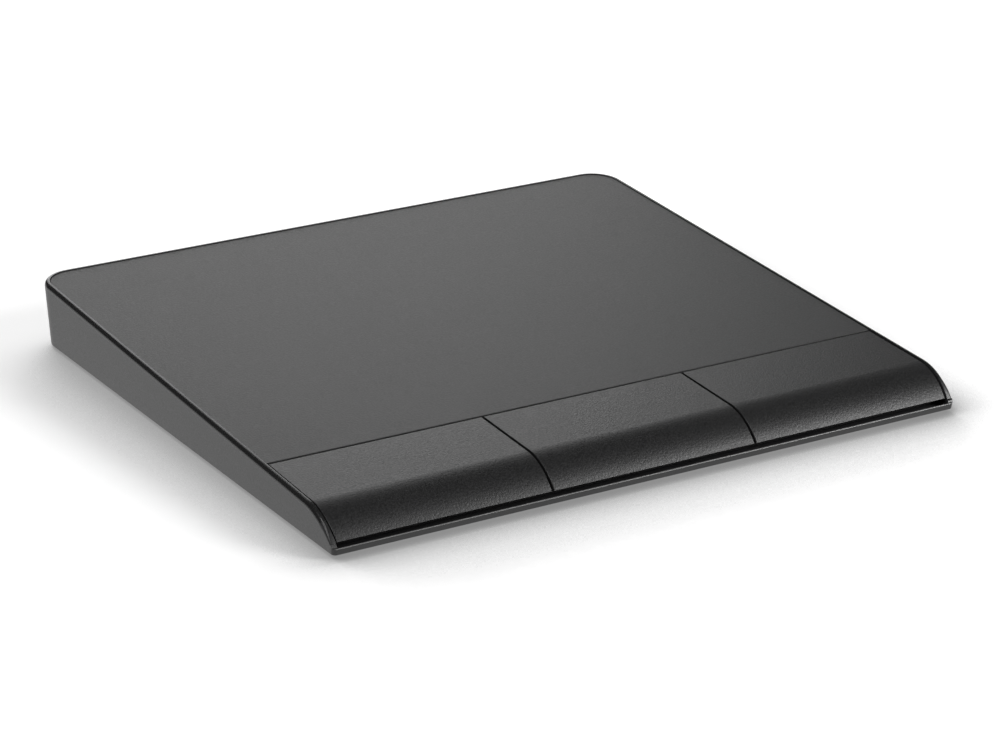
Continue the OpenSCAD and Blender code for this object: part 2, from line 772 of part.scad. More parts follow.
// Moves a cell's children along the bay, to leave its spring at the flat end
module in_bay(i) {
    side = i == 0 ? 1 : -1;
    translate([side * spring_l / 2, cell_y[i], cell_z]) rotate([0, 0, i * 180]) children();
}

module battery_cells() color([0.55, 0.55, 0.58]) for (i = [0, 1]) in_bay(i) cell();

// Bent leaf that presses on the flat end of each cell
module spring_contacts() color(steel) for (i = [0, 1]) in_bay(i)
    translate([-cell_l / 2 - spring_l - contact_t - cell_clear / 4, 0, -contact_w / 2])
        linear_extrude(contact_w) polygon([
            [0, -contact_w / 2], [contact_t, -contact_w / 2],
            [contact_t, 0], [spring_l + contact_t, contact_w / 4],
            [contact_t + spring_l / 4, contact_w / 2], [spring_l / 4, contact_w / 2],
            [spring_l - contact_t, contact_w / 4], [0, contact_t]
        ]);

// Flat plate that the button end of each cell meets
module plate_contacts() color(gold) for (i = [0, 1]) in_bay(i)
    translate([cell_l / 2 + cell_clear / 4, -contact_w / 2, -contact_w / 2])
        cube([contact_t, contact_w, contact_w]);

module battery_door() color(plastic) difference() {
    union() {
        translate([0, bay_y, z_base]) linear_extrude(door_t)
            rounded_rect([door_hole_l, door_hole_w] - 2 * [door_gap, door_gap], door_corner_r - door_gap);
        for (x = tab_x) {
            translate([x - tab_w / 2, door_front, z_base])
                cube([tab_w, door_overlap - 2 * door_gap, floor_t + door_gap + tab_t]);
            translate([x - tab_w / 2, door_front - tab_l, z_floor + door_gap])
                cube([tab_w, tab_l + door_gap, tab_t]);
        }
    }
    for (i = [1:grip_count])
        translate([0, bay_y + bay_w / 2 - grip_pitch * i, z_base]) rotate([0, 90, 0])
            cylinder(h = grip_l, r = grip_r, center = true);
}

module power_switch() color(black) difference() {
    translate([-power_x - power_body_l / 2, bay_y - power_body_w / 2, z_floor])
        cube([power_body_l, power_body_w, power_body_h]);
    translate([-power_x, bay_y, z_floor - overcut]) linear_extrude(power_room + overcut)
        rounded_rect([slot_l, slot_w], slot_r);
}

module power_slider() color(steel) difference() {
    translate([-power_x - knob_l / 2, bay_y - knob_w / 2, z_base + knob_sunk])
        cube([knob_l, knob_w, floor_t - knob_sunk + power_room - knob_gap]);
    for (x = [-1, 0, 1]) translate([x * knob_l / 4 - power_x, bay_y, z_base + knob_sunk])
        rotate([90, 0, 0]) cylinder(h = 2 * knob_w, r = knob_groove_r, center = true);
}

// One foot: a disc with a chamfered lower edge
module foot() {
    r = foot_r - foot_gap;
    cylinder(h = foot_chamfer, r1 = r - foot_chamfer, r2 = r);
    translate([0, 0, foot_chamfer]) cylinder(h = foot_h + foot_seat - foot_chamfer, r = r);
}

module rubber_feet() color(black) for (side = [-1, 1], y = foot_ys)
    translate([side * foot_x, y, 0]) foot();

// A screw hanging head down at the origin, its shank pointing up
module screw(head_r, head_h, shank_r, shank_l) {
    cross = [head_r + cross_w, cross_w, 2 * cross_depth];
    difference() {
        translate([0, 0, -head_h]) cylinder(h = head_h, r = head_r);
        for (turn = [0, 90]) translate([0, 0, -head_h]) rotate([0, 0, turn])
            cube(cross, center = true);
    }
    cylinder(h = shank_l, r = shank_r);
}

module case_screws() color(steel) at_case_screws() translate([0, 0, screw_head_z])
    screw(screw_head_r, screw_head_h, screw_r, screw_l);

module board_screws() color(steel) at_board_screws() translate([0, 0, switch_top_z])
    mirror([0, 0, 1])
        screw(board_screw_head_r, board_screw_head_h, board_screw_r,
            switch_board_t + board_screw_bite);

base_tray();
support_frame();
touch_panel();
panel_adhesive();
sensor_board();
touch_chip();
radio_module();
left_button();
middle_button();
right_button();
hinge_rod();
switch_board();
left_switch();
middle_switch();
right_switch();
left_plunger();
middle_plunger();
right_plunger();
ribbon_cable();
ribbon_sockets();
battery_cells();
spring_contacts();
plate_contacts();
battery_door();
power_switch();
power_slider();
rubber_feet();
case_screws();
board_screws();
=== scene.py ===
"""Shells, finishes and a plain studio for a desk trackpad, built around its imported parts."""
import json
import math
from contextlib import contextmanager
from types import SimpleNamespace

import bmesh
import bpy
from bpy.props import FloatProperty, FloatVectorProperty, IntProperty, PointerProperty
from mathutils import Matrix, Vector


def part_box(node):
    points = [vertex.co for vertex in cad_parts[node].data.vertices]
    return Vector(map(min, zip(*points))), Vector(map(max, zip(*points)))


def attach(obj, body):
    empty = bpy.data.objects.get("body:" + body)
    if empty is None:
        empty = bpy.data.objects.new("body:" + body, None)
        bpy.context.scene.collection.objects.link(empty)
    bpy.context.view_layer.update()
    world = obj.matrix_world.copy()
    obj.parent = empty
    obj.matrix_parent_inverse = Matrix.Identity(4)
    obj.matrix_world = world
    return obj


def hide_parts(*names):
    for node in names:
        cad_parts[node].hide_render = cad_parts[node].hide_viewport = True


bl_info = {
    "name": "Desk Trackpad",
    "version": (1, 0, 0),
    "blender": (4, 5, 0),
    "location": "View3D > Sidebar > Trackpad",
    "description": "Models the shells of a desk trackpad and gives each piece its finish",
    "category": "Object",
}

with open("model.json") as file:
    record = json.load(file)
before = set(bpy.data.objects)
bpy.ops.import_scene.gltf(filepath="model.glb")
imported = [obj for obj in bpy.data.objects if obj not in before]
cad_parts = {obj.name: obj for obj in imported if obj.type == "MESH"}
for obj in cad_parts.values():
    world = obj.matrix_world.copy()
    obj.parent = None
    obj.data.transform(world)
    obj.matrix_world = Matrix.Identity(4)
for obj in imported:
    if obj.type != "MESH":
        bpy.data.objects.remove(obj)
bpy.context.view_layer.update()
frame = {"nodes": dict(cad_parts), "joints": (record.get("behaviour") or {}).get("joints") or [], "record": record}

BASE = "base"
BUTTONS = ("left", "middle", "right")
UP, DOWN = (0, 0, 1), (0, 0, -1)

# How far cutters reach past their work, in metres
CLEAR_CUT = 0.03
GROOVE_REACH = 0.003
# Cutters that end at the lip's top are sunk by this much, so that no two faces lie in one plane
POCKET_SINK = 2e-5
COVE_SINK = 2.5e-5
# Tolerances in metres: of a place, of a place on a fresh primitive, of a weld, of the nose's facets
NEAR = 1e-5
TOUCH = 1e-6
WELD = 1e-7
SKIN_SLACK = 5e-5
# Parts of a normal along an axis: of a wall at most, of a round at most, of a facing or level face at least
STEEP = 0.3
ROUNDED = 0.98
FACING = 0.9
LEVEL = 0.999
# Depth of the rim's finish, in radii of its round
RIM_REACH = 1.05
# Faces round a cylinder, a groove, a corner in plan, a small corner and an edge
ROUND_SIDES = 64
GROOVE_SIDES = 24
PLAN_STEPS = 16
CORNER_STEPS = 6
EDGE_STEPS = 3
# Edges that bend less than this are shaded smooth
SMOOTH_ANGLE = math.radians(35)

# Refractive index of plain plastic and of glossy layers
PLASTIC_IOR = 1.48
GLOSS_IOR = 1.5
# Size of the grain of a texture, in metres
FINE, SPARK, COARSE = 0.0003, 0.00042, 0.0005
# Range that most values of a noise lie in, and how plastic varies: clouds in grains, their share, roughness
NOISE_SPAN = (0.3, 0.7)
CLOUD_GRAINS = 60
CLOUD_SHARE = 0.15
ROUGH_SPAN = 0.06
# Fine lines in drawn or rolled metal
LINES_PER_METRE = 9000.0

# Lamps, each aimed at the origin: name, setting of its share of the light, place and span in metres
LAMPS = (
    ("sweep_light", "sweep", (0.338, 0.88, 0.334), (0.62, 0.72)),
    ("side_light", "side", (-0.94, -0.56, 1.56), (1.0, 1.0)),
    ("key_light", "key", (0.442, -0.454, 0.314), (0.26, 0.26)),
)
# The camera's sensor, and the nearest and farthest that it sees, in metres
SENSOR_MM = 36.0
CLIP_RANGE = (0.01, 20.0)


def size(name, description, default):
    """A length that a user may change, in metres."""
    return FloatProperty(name=name, description=description, default=default, unit="LENGTH", precision=5)


def turn(name, description, degrees):
    """An angle that a user may change."""
    return FloatProperty(
        name=name, description=description, default=math.radians(degrees), subtype="ANGLE"
    )


def level(name, description, default):
    """A plain factor that a user may change."""
    return FloatProperty(name=name, description=description, default=default, min=0.0)


def count(name, description, default, least=1):
    """A number of like things that a user may change."""
    return IntProperty(name=name, description=description, default=default, min=least)


def tint(name, description, default):
    """A linear colour that a user may change."""
    return FloatVectorProperty(
        name=name, description=description, default=default, size=3, subtype="COLOR", min=0.0, max=1.0
    )


class CaseSizes(bpy.types.PropertyGroup):
    """Sizes of the tray and of the touch panel in it."""

    seam_height: size("Seam height", "Rim above the underside at the seam with the buttons", 0.00945)
    button_depth: size("Button depth", "From the front lip to the seam with the panel", 0.0311)
    draft: turn("Draft", "Lean of the outer walls", 3.6)
    back_corner: size("Back corner", "Plan radius of the back corners", 0.008)
    front_corner: size("Front corner", "Plan radius of the front corners", 0.0011)
    wall: size("Wall", "Thickness of the side and back walls", 0.0026)
    floor: size("Floor", "Thickness of the floor", 0.0016)
    rim_width: size("Rim width", "Width of the rim beside the panel", 0.0013)
    rim_rise: size("Rim rise", "How far the rim stands above the panel", 0.0002)
    rim_round: size("Rim round", "Radius of the rim's outer edge", 0.0012)
    lip_height: size("Lip height", "Front lip above the underside", 0.0016)
    lip_thick: size("Lip thickness", "Thickness of the front lip", 0.00045)
    lip_round: size("Lip round", "Radius of the lip's edges", 0.00026)
    trough_width: size("Trough width", "Width of the trough behind the lip", 0.004)
    trough_depth: size("Trough depth", "Depth of that trough below the lip", 0.0011)
    base_round: size("Base round", "Radius of the lower edge all round", 0.0003)
    round_steps: count("Round steps", "Faces round the rim", 8, 2)
    narrow_run: size("Narrow run", "Length over which the rim's round narrows to the lip's", 0.004)
    narrow_steps: count("Narrow steps", "Steps of that narrowing", 8)
    pocket_depth: size("Pocket depth", "Room in the side walls below the outer buttons", 0.0036)
    pocket_back: size("Pocket back", "How far that room runs back under the panel", 0.001)
    panel_thick: size("Panel thickness", "Thickness of the touch panel", 0.0012)
    panel_gap: size("Panel gap", "Gap between the panel and the rim", 0.00012)
    panel_round: size("Panel round", "Radius of the panel's upper edge", 0.00012)
    stack_thick: size("Stack thickness", "Adhesive sheet and sensor board under the panel", 0.0012)
    inner_gap: size("Inner gap", "Gap between the sensor board and the walls of the bay", 0.0003)
    rib_height: size("Rib height", "Height of the ribs on the floor", 0.0024)
    rib_thick: size("Rib thickness", "Thickness of the ribs on the floor", 0.0012)
    rib_place: size("Rib place", "Distance of the long ribs from the centre line", 0.04)
    rib_start: size("Rib start", "Start of the long ribs behind the buttons' hinge", 0.0035)


class ButtonSizes(bpy.types.PropertyGroup):
    """Sizes of the buttons, their nose and their hinge arms."""

    skin: size("Skin", "Thickness of a button's skin", 0.0016)
    nose_radius: size("Nose radius", "Radius of the rounded front, at the rim", 0.014)
    nose_angle: turn("Nose angle", "Slope of the nose where it ends", 55)
    nose_setback: size("Nose setback", "How far the nose ends behind the lip", 0.0011)
    nose_steps: count("Nose steps", "Faces round the nose", 32, 8)
    lip_gap: size("Lip gap", "Open gap above the lip", 0.00078)
    seam_gap: size("Seam gap", "Gap between the panel and the buttons", 0.0006)
    middle_width: size("Middle width", "Middle button, seam to seam", 0.052)
    button_gap: size("Button gap", "Gap between two buttons", 0.00055)
    side_gap: size("Side gap", "Gap between an outer button and the rim", 0.0004)
    edge_round: size("Edge round", "Radius of a button's edges", 0.00018)
    lower_round: size("Lower round", "Radius of a button's lower front edge", 0.00012)
    rib_depth: size("Rib depth", "Depth of the ribs below a button's top", 0.0025)
    rib_thick: size("Rib thickness", "Thickness of a rib", 0.0012)
    arm_width: size("Arm width", "Width of a hinge arm", 0.004)
    arm_inset: size("Arm inset", "Distance of an arm from a button's end", 0.01)
    arm_root: size("Arm root", "Length of an arm in front of the seam", 0.006)
    eye_radius: size("Eye radius", "Radius of the eye on an arm", 0.002)
    bar_half: size("Bar half", "Half the height of an arm where it meets its eye", 0.0019)
    bore_radius: size("Bore radius", "Radius of the bore in that eye", 0.00105)
    boss_radius: size("Boss radius", "Radius of the boss that presses the switch", 0.0022)
    boss_gap: size("Boss gap", "Gap between that boss and its plunger", 0.00015)


class UndersideSizes(bpy.types.PropertyGroup):
    """Sizes of what the underside holds."""

    screw_seat: size("Screw seat", "Depth of the sunk seat of a case screw", 0.0024)
    screw_room: size("Screw room", "Clearance around a case screw", 0.0001)
    screw_shank: size("Screw shank", "Radius of a case screw's shank", 0.001)
    boss_radius: size("Boss radius", "Radius of a screw boss", 0.0034)
    boss_height: size("Boss height", "Height of a screw boss above the floor", 0.003)
    standoff_radius: size("Standoff radius", "Radius of a standoff under the switch board", 0.0024)
    standoff_bore: size("Standoff bore", "Radius of the hole in a standoff", 0.0009)
    foot_room: size("Foot room", "Gap round a foot in its recess", 0.0001)
    foot_round: size("Foot round", "Radius of a foot's lower edge", 0.0003)
    foot_dish: size("Foot dish", "Depth of the dished face of a foot", 0.00012)
    door_gap: size("Door gap", "Gap round the battery door", 0.0002)
    door_thick: size("Door thickness", "Thickness of the battery door", 0.0013)
    door_corner: size("Door corner", "Corner radius of the door's hole", 0.0015)
    door_round: size("Door round", "Radius of the door's lower edge", 0.00025)
    door_overlap: size("Door overlap", "Step of the floor round the bay", 0.0018)
    bay_wall: size("Bay wall", "Thickness of the battery bay's walls", 0.0012)
    tab_width: size("Tab width", "Width of a door tab", 0.008)
    tab_reach: size("Tab reach", "Reach of a door tab over the floor", 0.002)
    tab_thick: size("Tab thickness", "Thickness of a door tab", 0.0008)
    tab_from_end: size("Tab place", "Distance of the tabs from the bay's ends", 0.0083)
    tab_room: size("Tab room", "Room for the swing of a tab", 0.001)
    tab_side: size("Tab side room", "Room beside a tab in its notch", 0.00035)
    grip_length: size("Grip length", "Length of the finger grooves", 0.014)
    grip_radius: size("Grip radius", "Radius of the finger grooves", 0.0005)
    grip_pitch: size("Grip pitch", "Spacing of the finger grooves", 0.002)
    grip_count: count("Grip count", "Number of finger grooves", 4)
    knob_travel: size("Knob travel", "Travel of the power slider to each side", 0.0012)
    knob_gap: size("Knob gap", "Gap round the power slider", 0.00025)
    knob_round: size("Knob round", "Radius of the power slider's edges", 0.00012)


class Finishes(bpy.types.PropertyGroup):
    """Base colours, linear."""

    case: tint("Case", "Satin plastic of the walls", (0.014, 0.014, 0.0143))
    rim: tint("Rim", "Smooth plastic of the rim", (0.012, 0.012, 0.0122))
    panel: tint("Panel", "Matte film of the touch panel", (0.018, 0.018, 0.0182))
    button: tint("Button", "Spark-textured plastic of the buttons", (0.01, 0.01, 0.0102))
    # Painted highlight: a pale colour on the lip's crest and the buttons' lower front edges stands in for the thin
    # line of light that these edges catch
    edge: tint("Edge", "Thin front edges that catch the light", (0.15, 0.15, 0.15))
    inner: tint("Inner plastic", "Black plastic of the hidden parts", (0.018, 0.018, 0.019))
    board: tint("Board", "Green mask of the circuit boards", (0.012, 0.085, 0.04))
    track: tint("Track", "Mask over the copper tracks", (0.02, 0.16, 0.075))
    adhesive: tint("Adhesive", "Double-sided sheet under the panel", (0.7, 0.67, 0.6))
    cable: tint("Cable", "Laminate of the flat cable", (0.62, 0.62, 0.58))
    conductor: tint("Conductor", "Strips inside the flat cable", (0.34, 0.33, 0.3))
    steel: tint("Steel", "Rod, screws and switch covers", (0.56, 0.56, 0.57))
    contact: tint("Contact", "Plated contact metal", (0.72, 0.6, 0.36))
    cell: tint("Cell", "Jacket of the battery cells", (0.3, 0.31, 0.33))
    rubber: tint("Rubber", "Rubber of the feet", (0.02, 0.02, 0.02))


class Studio(bpy.types.PropertyGroup):
    """Camera and light."""

    azimuth: turn("Azimuth", "Camera's way round the object from the front", -30.846)
    elevation: turn("Elevation", "Camera's height above the horizon", 21.203)
    distance: size("Distance", "Camera to the point that it aims at", 0.80023)
    aim: FloatVectorProperty(
        name="Aim", description="Point that the camera aims at", default=(0.003938, -0.000708, -0.000415),
        subtype="TRANSLATION", unit="LENGTH", precision=6,
    )
    lens: FloatProperty(name="Lens", description="Focal length in mm on a 36 mm sensor", default=123.74)
    floor_span: size("Floor span", "Side of the square floor", 6.0)
    floor_white: level("Floor white", "Floor's brightness to the camera", 1.08)
    floor_plain: level("Floor plain", "Share of the light that the floor throws back", 0.8)
    floor_shine: level("Floor shine", "Floor's brightness in reflections", 1.05)
    # The contact shadow is painted into the floor's colour from ambient occlusion
    shadow_reach: size("Shadow reach", "How far the contact shadow reaches", 0.036)
    shadow_depth: level("Shadow depth", "Strength of the contact shadow", 3.9)
    shadow_from: FloatVectorProperty(
        name="Shadow from", description="Side that the contact shadow is cast from",
        default=(-0.12, 0.82, 0.56), subtype="DIRECTION",
    )
    shadow_lift: level("Shadow lift", "Least brightness of the contact shadow", 0.27)
    shadow_samples: count("Shadow samples", "Rays for that shadow", 8)
    sky: level("Sky", "Even light from all round", 0.08)
    sweep: level("Sweep light", "Share of the floor's light from the pale sweep at the back", 0.1)
    side: level("Side light", "Share of the floor's light from the front left", 0.45)
    key: level("Key light", "Share of the floor's light from the front right", 0.3)


def layout():
    """The sizes, and the planes and centres that the pieces share, worked out from them and the frame."""
    scene = bpy.context.scene
    case, keys, under = scene.trackpad_case, scene.trackpad_buttons, scene.trackpad_underside
    low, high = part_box("base_tray")
    plan = SimpleNamespace(case=case, keys=keys, under=under, half=high.x, z_base=low.z)
    plan.y_front, plan.y_back, plan.height = low.y, high.y, high.z - low.z
    run = plan.y_back - plan.y_front - case.button_depth
    plan.tilt = math.atan((plan.height - case.seam_height) / run)
    plan.z_slope = high.z - math.tan(plan.tilt) * plan.y_back
    plan.z_lip = plan.z_base + case.lip_height
    plan.z_floor = plan.z_base + case.floor
    plan.z_edge = plan.z_lip + keys.lip_gap
    plan.on_slope = Matrix.Translation((0, 0, plan.z_slope)) @ Matrix.Rotation(plan.tilt, 4, "X")
    plan.seam_s = (plan.y_front + case.button_depth) / math.cos(plan.tilt)
    plan.back_s = plan.y_back / math.cos(plan.tilt)
    nose_y = plan.y_front + keys.nose_setback + keys.nose_radius * math.sin(keys.nose_angle)
    plan.nose_s = nose_y / math.cos(plan.tilt) - keys.nose_radius * math.tan(plan.tilt)
    plan.nose = plan.on_slope @ Vector((0, plan.nose_s, -keys.nose_radius))
    lip = plan.on_slope.inverted() @ Vector((0, plan.y_front, plan.z_lip))
    plan.front_s = lip.y + lip.z * math.tan(case.draft)
    plan.panel_n = -case.rim_rise - case.panel_thick
    seam_x, gap = keys.middle_width / 2, keys.button_gap / 2
    plan.button_x = ((-plan.half, -seam_x - gap), (-seam_x + gap, seam_x - gap), (seam_x + gap, plan.half))
    return plan


def choose(piece):
    """Makes a piece the only selected and the active one."""
    bpy.ops.object.select_all(action="DESELECT")
    piece.select_set(True)
    bpy.context.view_layer.objects.active = piece


def begin(name, add, **settings):
    """Adds a primitive with nothing else selected."""
    bpy.ops.object.select_all(action="DESELECT")
    add(**settings)
    piece = bpy.context.object
    piece.name = piece.data.name = name
    return piece


def settle(piece, place=None):
    """Moves a piece's place into its mesh."""
    if place is not None:
        piece.matrix_world = place @ piece.matrix_world
    choose(piece)
    bpy.ops.object.transform_apply(location=True, rotation=True, scale=True)
    return piece


@contextmanager
def editing(piece):
    """Opens a piece in edit mode with all of it selected."""
    choose(piece)
    bpy.ops.object.mode_set(mode="EDIT")
    bpy.ops.mesh.select_all(action="SELECT")
    yield
    bpy.ops.object.mode_set(mode="OBJECT")


def pick(kind, test):
    """Selects the vertices, edges or faces of the edit mesh that pass a test."""
    bpy.ops.mesh.select_mode(type=kind)
    bpy.ops.mesh.select_all(action="DESELECT")
    mesh = bpy.context.object.data
    form = bmesh.from_edit_mesh(mesh)
    for part in {"VERT": form.verts, "EDGE": form.edges, "FACE": form.faces}[kind]:
        if test(part):
            part.select_set(True)
    bmesh.update_edit_mesh(mesh)


def extrude(x, y, z):
    """Extrudes what is selected of the edit mesh."""
    bpy.ops.mesh.extrude_region_move(TRANSFORM_OT_translate={"value": (x, y, z)})


def thicken(height):
    """Extrudes the whole edit mesh, a sheet, to a closed solid with its faces outwards."""
    bpy.ops.mesh.select_all(action="SELECT")
    extrude(0, 0, height)
    bpy.ops.mesh.select_all(action="SELECT")
    bpy.ops.mesh.normals_make_consistent(inside=False)


def lies_at(edge, z):
    """Whether an edge of a fresh shape lies at a height, or below it."""
    return all(v.co.z < z + TOUCH for v in edge.verts)


def edge_centre(edge):
    """Middle of an edge."""
    return (edge.verts[0].co + edge.verts[1].co) / 2


def joins_wall(edge, test):
    """Whether an edge joins a steep wall to a face that passes a test."""
    faces = edge.link_faces
    steep = [abs(f.normal.z) < STEEP for f in faces]
    return len(faces) == 2 and any(steep) and any(test(f) for f in faces)


def block(name, low, high):
    """A box between two corners, as a start."""
    low, high = Vector(low), Vector(high)
    piece = begin(name, bpy.ops.mesh.primitive_cube_add, size=1, location=(low + high) / 2)
    piece.scale = high - low
    return settle(piece)


def disc(name, radius, low, high, across=False, sides=ROUND_SIDES):
    """A cylinder from one point straight to another, along Z, or along X where it lies across."""
    low, high = Vector(low), Vector(high)
    piece = begin(
        name, bpy.ops.mesh.primitive_cylinder_add, vertices=sides, radius=radius,
        depth=(high - low).length, location=(low + high) / 2,
        rotation=(0, math.pi / 2 if across else 0, 0),
    )
    return settle(piece)


def plate(name, low, high, back_r, front_r=0.0, segments=PLAN_STEPS):
    """A flat plate between two corners whose outline has round corners."""
    low, high = Vector(low), Vector(high)
    middle = (low + high) / 2
    piece = begin(name, bpy.ops.mesh.primitive_plane_add, size=1, location=(middle.x, middle.y, low.z))
    piece.scale = (high.x - low.x, high.y - low.y, 1)
    settle(piece)
    with editing(piece):
        for radius, side in ((back_r, 1), (front_r, -1)):
            if radius > 0:
                pick("VERT", lambda v: (v.co.y - middle.y) * side > 0)
                bpy.ops.mesh.bevel(affect="VERTICES", offset=radius, segments=segments)
        thicken(high.z - low.z)
    return piece


def slice_off(piece, point, normal):
    """Cuts away what lies beyond a plane, on its normal's side, and closes the cut."""
    with editing(piece):
        bpy.ops.mesh.bisect(plane_co=point, plane_no=normal, use_fill=True, clear_outer=True)


def carve(piece, tool, operation="DIFFERENCE"):
    """Cuts, joins or trims a piece with a tool, and takes the tool away."""
    choose(piece)
    cut = piece.modifiers.new("Carve", "BOOLEAN")
    cut.operation, cut.object, cut.solver = operation, tool, "EXACT"
    bpy.ops.object.modifier_apply(modifier=cut.name)
    bpy.data.meshes.remove(tool.data)
    return piece


def merge(pieces):
    """Joins separate shells into the first of them, as one object."""
    choose(pieces[0])
    for piece in pieces:
        piece.select_set(True)
    bpy.ops.object.join()
    return pieces[0]


def copies(piece, places):
    """One object with a copy of the piece at each place, each with its own mesh."""
    made = []
    for place in places:
        choose(piece)
        bpy.ops.object.duplicate()
        made.append(settle(bpy.context.object, Matrix.Translation(place)))
    bpy.data.meshes.remove(piece.data)
    return merge(made)


def round_edges(piece, width, test):
    """Rounds the edges of a piece that pass a test."""
    with editing(piece):
        pick("EDGE", test)
        bpy.ops.mesh.bevel(affect="EDGES", offset=width, segments=EDGE_STEPS, clamp_overlap=True)


def round_together(piece, segments, *rounds):
    """Rounds several sets of edges in one go, each set with its own radius."""
    widest = max(width for width, test in rounds)
    with editing(piece):
        bpy.ops.transform.edge_bevelweight(value=-1)
        for width, test in rounds:
            pick("EDGE", test)
            bpy.ops.transform.edge_bevelweight(value=width / widest)
    choose(piece)
    bevel = piece.modifiers.new("Round", "BEVEL")
    bevel.limit_method, bevel.use_clamp_overlap = "WEIGHT", False
    bevel.width, bevel.segments = widest, segments
    bpy.ops.object.modifier_apply(modifier=bevel.name)


def tidy_mesh(piece):
    """Merges doubles, turns the faces outwards and shades the rounds smooth."""
    with editing(piece):
        bpy.ops.mesh.remove_doubles(threshold=WELD)
        bpy.ops.mesh.normals_make_consistent(inside=False)
    choose(piece)
    bpy.ops.object.shade_smooth_by_angle(angle=SMOOTH_ANGLE)
    weigh = piece.modifiers.new("Weigh", "WEIGHTED_NORMAL")
    weigh.keep_sharp = True
    bpy.ops.object.modifier_apply(modifier=weigh.name)
    return piece


def stand_in(piece, node, body, slot, *materials):
    """Puts a finished piece in the place of its CAD node."""
    piece.data.materials.clear()
    for material in materials:
        piece.data.materials.append(material)
    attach(piece, body)
    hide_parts(node)


def wall_plane(plan, inset, side):
    """Point and outward normal of a leaning side plane, sunk by an inset."""
    draft = plan.case.draft
    normal = Vector((side * math.cos(draft), 0, -math.sin(draft)))
    return plan.on_slope @ Vector((side * (plan.half - inset), 0, 0)), plan.on_slope.to_3x3() @ normal


def nose_turn(plan, z, depth=0.0):
    """Angle round the nose from the slope down to a height, at a depth under the surface."""
    return math.acos((z - plan.nose.z) / (plan.keys.nose_radius - depth)) - plan.tilt


def nose_sheet(plan, name, depth, s_back, z_end):
    """A wide sheet that follows the slope, rolls over the nose and runs out level to the front."""
    keys = plan.keys
    piece = begin(
        name, bpy.ops.mesh.primitive_plane_add, size=1,
        location=(0, (plan.nose_s + s_back) / 2, -depth),
    )
    piece.scale = (4 * plan.half, s_back - plan.nose_s, 1)
    settle(piece)
    with editing(piece):
        pick("EDGE", lambda e: all(v.co.y < plan.nose_s + TOUCH for v in e.verts))
        bpy.ops.mesh.spin(
            steps=keys.nose_steps, angle=-nose_turn(plan, z_end, depth),
            center=(0, plan.nose_s, -keys.nose_radius), axis=(1, 0, 0),
        )
    settle(piece, plan.on_slope)
    with editing(piece):
        front = min(v.co.y for v in piece.data.vertices)
        pick("EDGE", lambda e: all(v.co.y < front + TOUCH for v in e.verts))
        extrude(0, -CLEAR_CUT, 0)
    return piece


def curved_slab(plan, name, x_from, x_to, upper, lower):
    """A slab between two depths that runs from the seam over the nose to the buttons' lower edge."""
    keys = plan.keys
    piece = block(
        name, (x_from, plan.nose_s, -lower), (x_to, plan.seam_s - keys.seam_gap / 2, -upper)
    )
    with editing(piece):
        pick("FACE", lambda f: f.normal.y < -FACING)
        bpy.ops.mesh.spin(
            steps=keys.nose_steps, angle=-nose_turn(plan, plan.z_lip),
            center=(0, plan.nose_s, -keys.nose_radius), axis=(1, 0, 0),
        )
    settle(piece, plan.on_slope)
    slice_off(piece, (0, 0, plan.z_edge), DOWN)
    return piece


def joint_named(name):
    """A joint of the frame by its name."""
    return next(joint for joint in frame["joints"] if joint["name"] == name)


def islands(node):
    """Corner pairs in plan of the separate solids of a node."""
    mesh = bmesh.new()
    mesh.from_mesh(frame["nodes"][node].data)
    bmesh.ops.remove_doubles(mesh, verts=mesh.verts, dist=TOUCH)
    left, found = set(mesh.verts), []
    while left:
        queue, group = [left.pop()], []
        while queue:
            vert = queue.pop()
            group.append(vert.co.copy())
            near = {e.other_vert(vert) for e in vert.link_edges} & left
            left -= near
            queue.extend(near)
        xs, ys = [p.x for p in group], [p.y for p in group]
        found.append(((min(xs), min(ys)), (max(xs), max(ys))))
    mesh.free()
    return sorted(found)


def centres(node):
    """Centres in plan of the separate solids of a node."""
    return [((a[0] + b[0]) / 2, (a[1] + b[1]) / 2) for a, b in islands(node)]


def places_of(node, z=0.0):
    """Those centres as points at a given height."""
    return [Vector((x, y, z)) for x, y in centres(node)]


def radius_of(node):
    """Radius of a node's separate solids, which are alike and round in plan."""
    low, high = islands(node)[0]
    return (high[0] - low[0]) / 2


def door_hole(plan):
    """Corners in plan of the hole for the battery door."""
    low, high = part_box("battery_door")
    gap = plan.under.door_gap
    return (low.x - gap, low.y + plan.under.tab_reach - gap), (high.x + gap, high.y + gap)


def bay_corners(plan):
    """Opposite corners of the battery bay's inside, both at the floor."""
    low, high = door_hole(plan)
    step = Vector((plan.under.door_overlap, plan.under.door_overlap, 0))
    return Vector((*low, plan.z_floor)) + step, Vector((*high, plan.z_floor)) - step


def bay_top(plan):
    """Height of the bay's walls, just below the sensor board at their front."""
    front = bay_corners(plan)[0].y - plan.under.bay_wall
    board = plan.z_slope + front * math.tan(plan.tilt)
    board += (plan.panel_n - plan.case.stack_thick) / math.cos(plan.tilt)
    return board - plan.case.inner_gap


def tab_places(plan):
    """Places of the two door tabs along the width."""
    low, high = bay_corners(plan)
    reach = (high.x - low.x) / 2 - plan.under.tab_from_end
    return -reach, reach


class Wire:
    """A shader value that takes part in Python expressions, each adding a Math node."""

    def __init__(self, finish, socket):
        self.finish = finish
        self.socket = socket

    def maths(self, operation, first, second):
        """A Math node on two values."""
        return self.finish.node("ShaderNodeMath", {"operation": operation}, {0: first, 1: second})

    def __add__(self, other):
        return self.maths("ADD", self, other)

    def __sub__(self, other):
        return self.maths("SUBTRACT", self, other)

    def __rsub__(self, other):
        return self.maths("SUBTRACT", other, self)

    def __mul__(self, other):
        return self.maths("MULTIPLY", self, other)

    def __gt__(self, other):
        return self.maths("GREATER_THAN", self, other)

    def __lt__(self, other):
        return self.maths("LESS_THAN", self, other)

    def __mod__(self, other):
        return self.maths("FLOORED_MODULO", self, other)

    def __pow__(self, other):
        return self.maths("POWER", self, other)

    __radd__ = __add__
    __rmul__ = __mul__


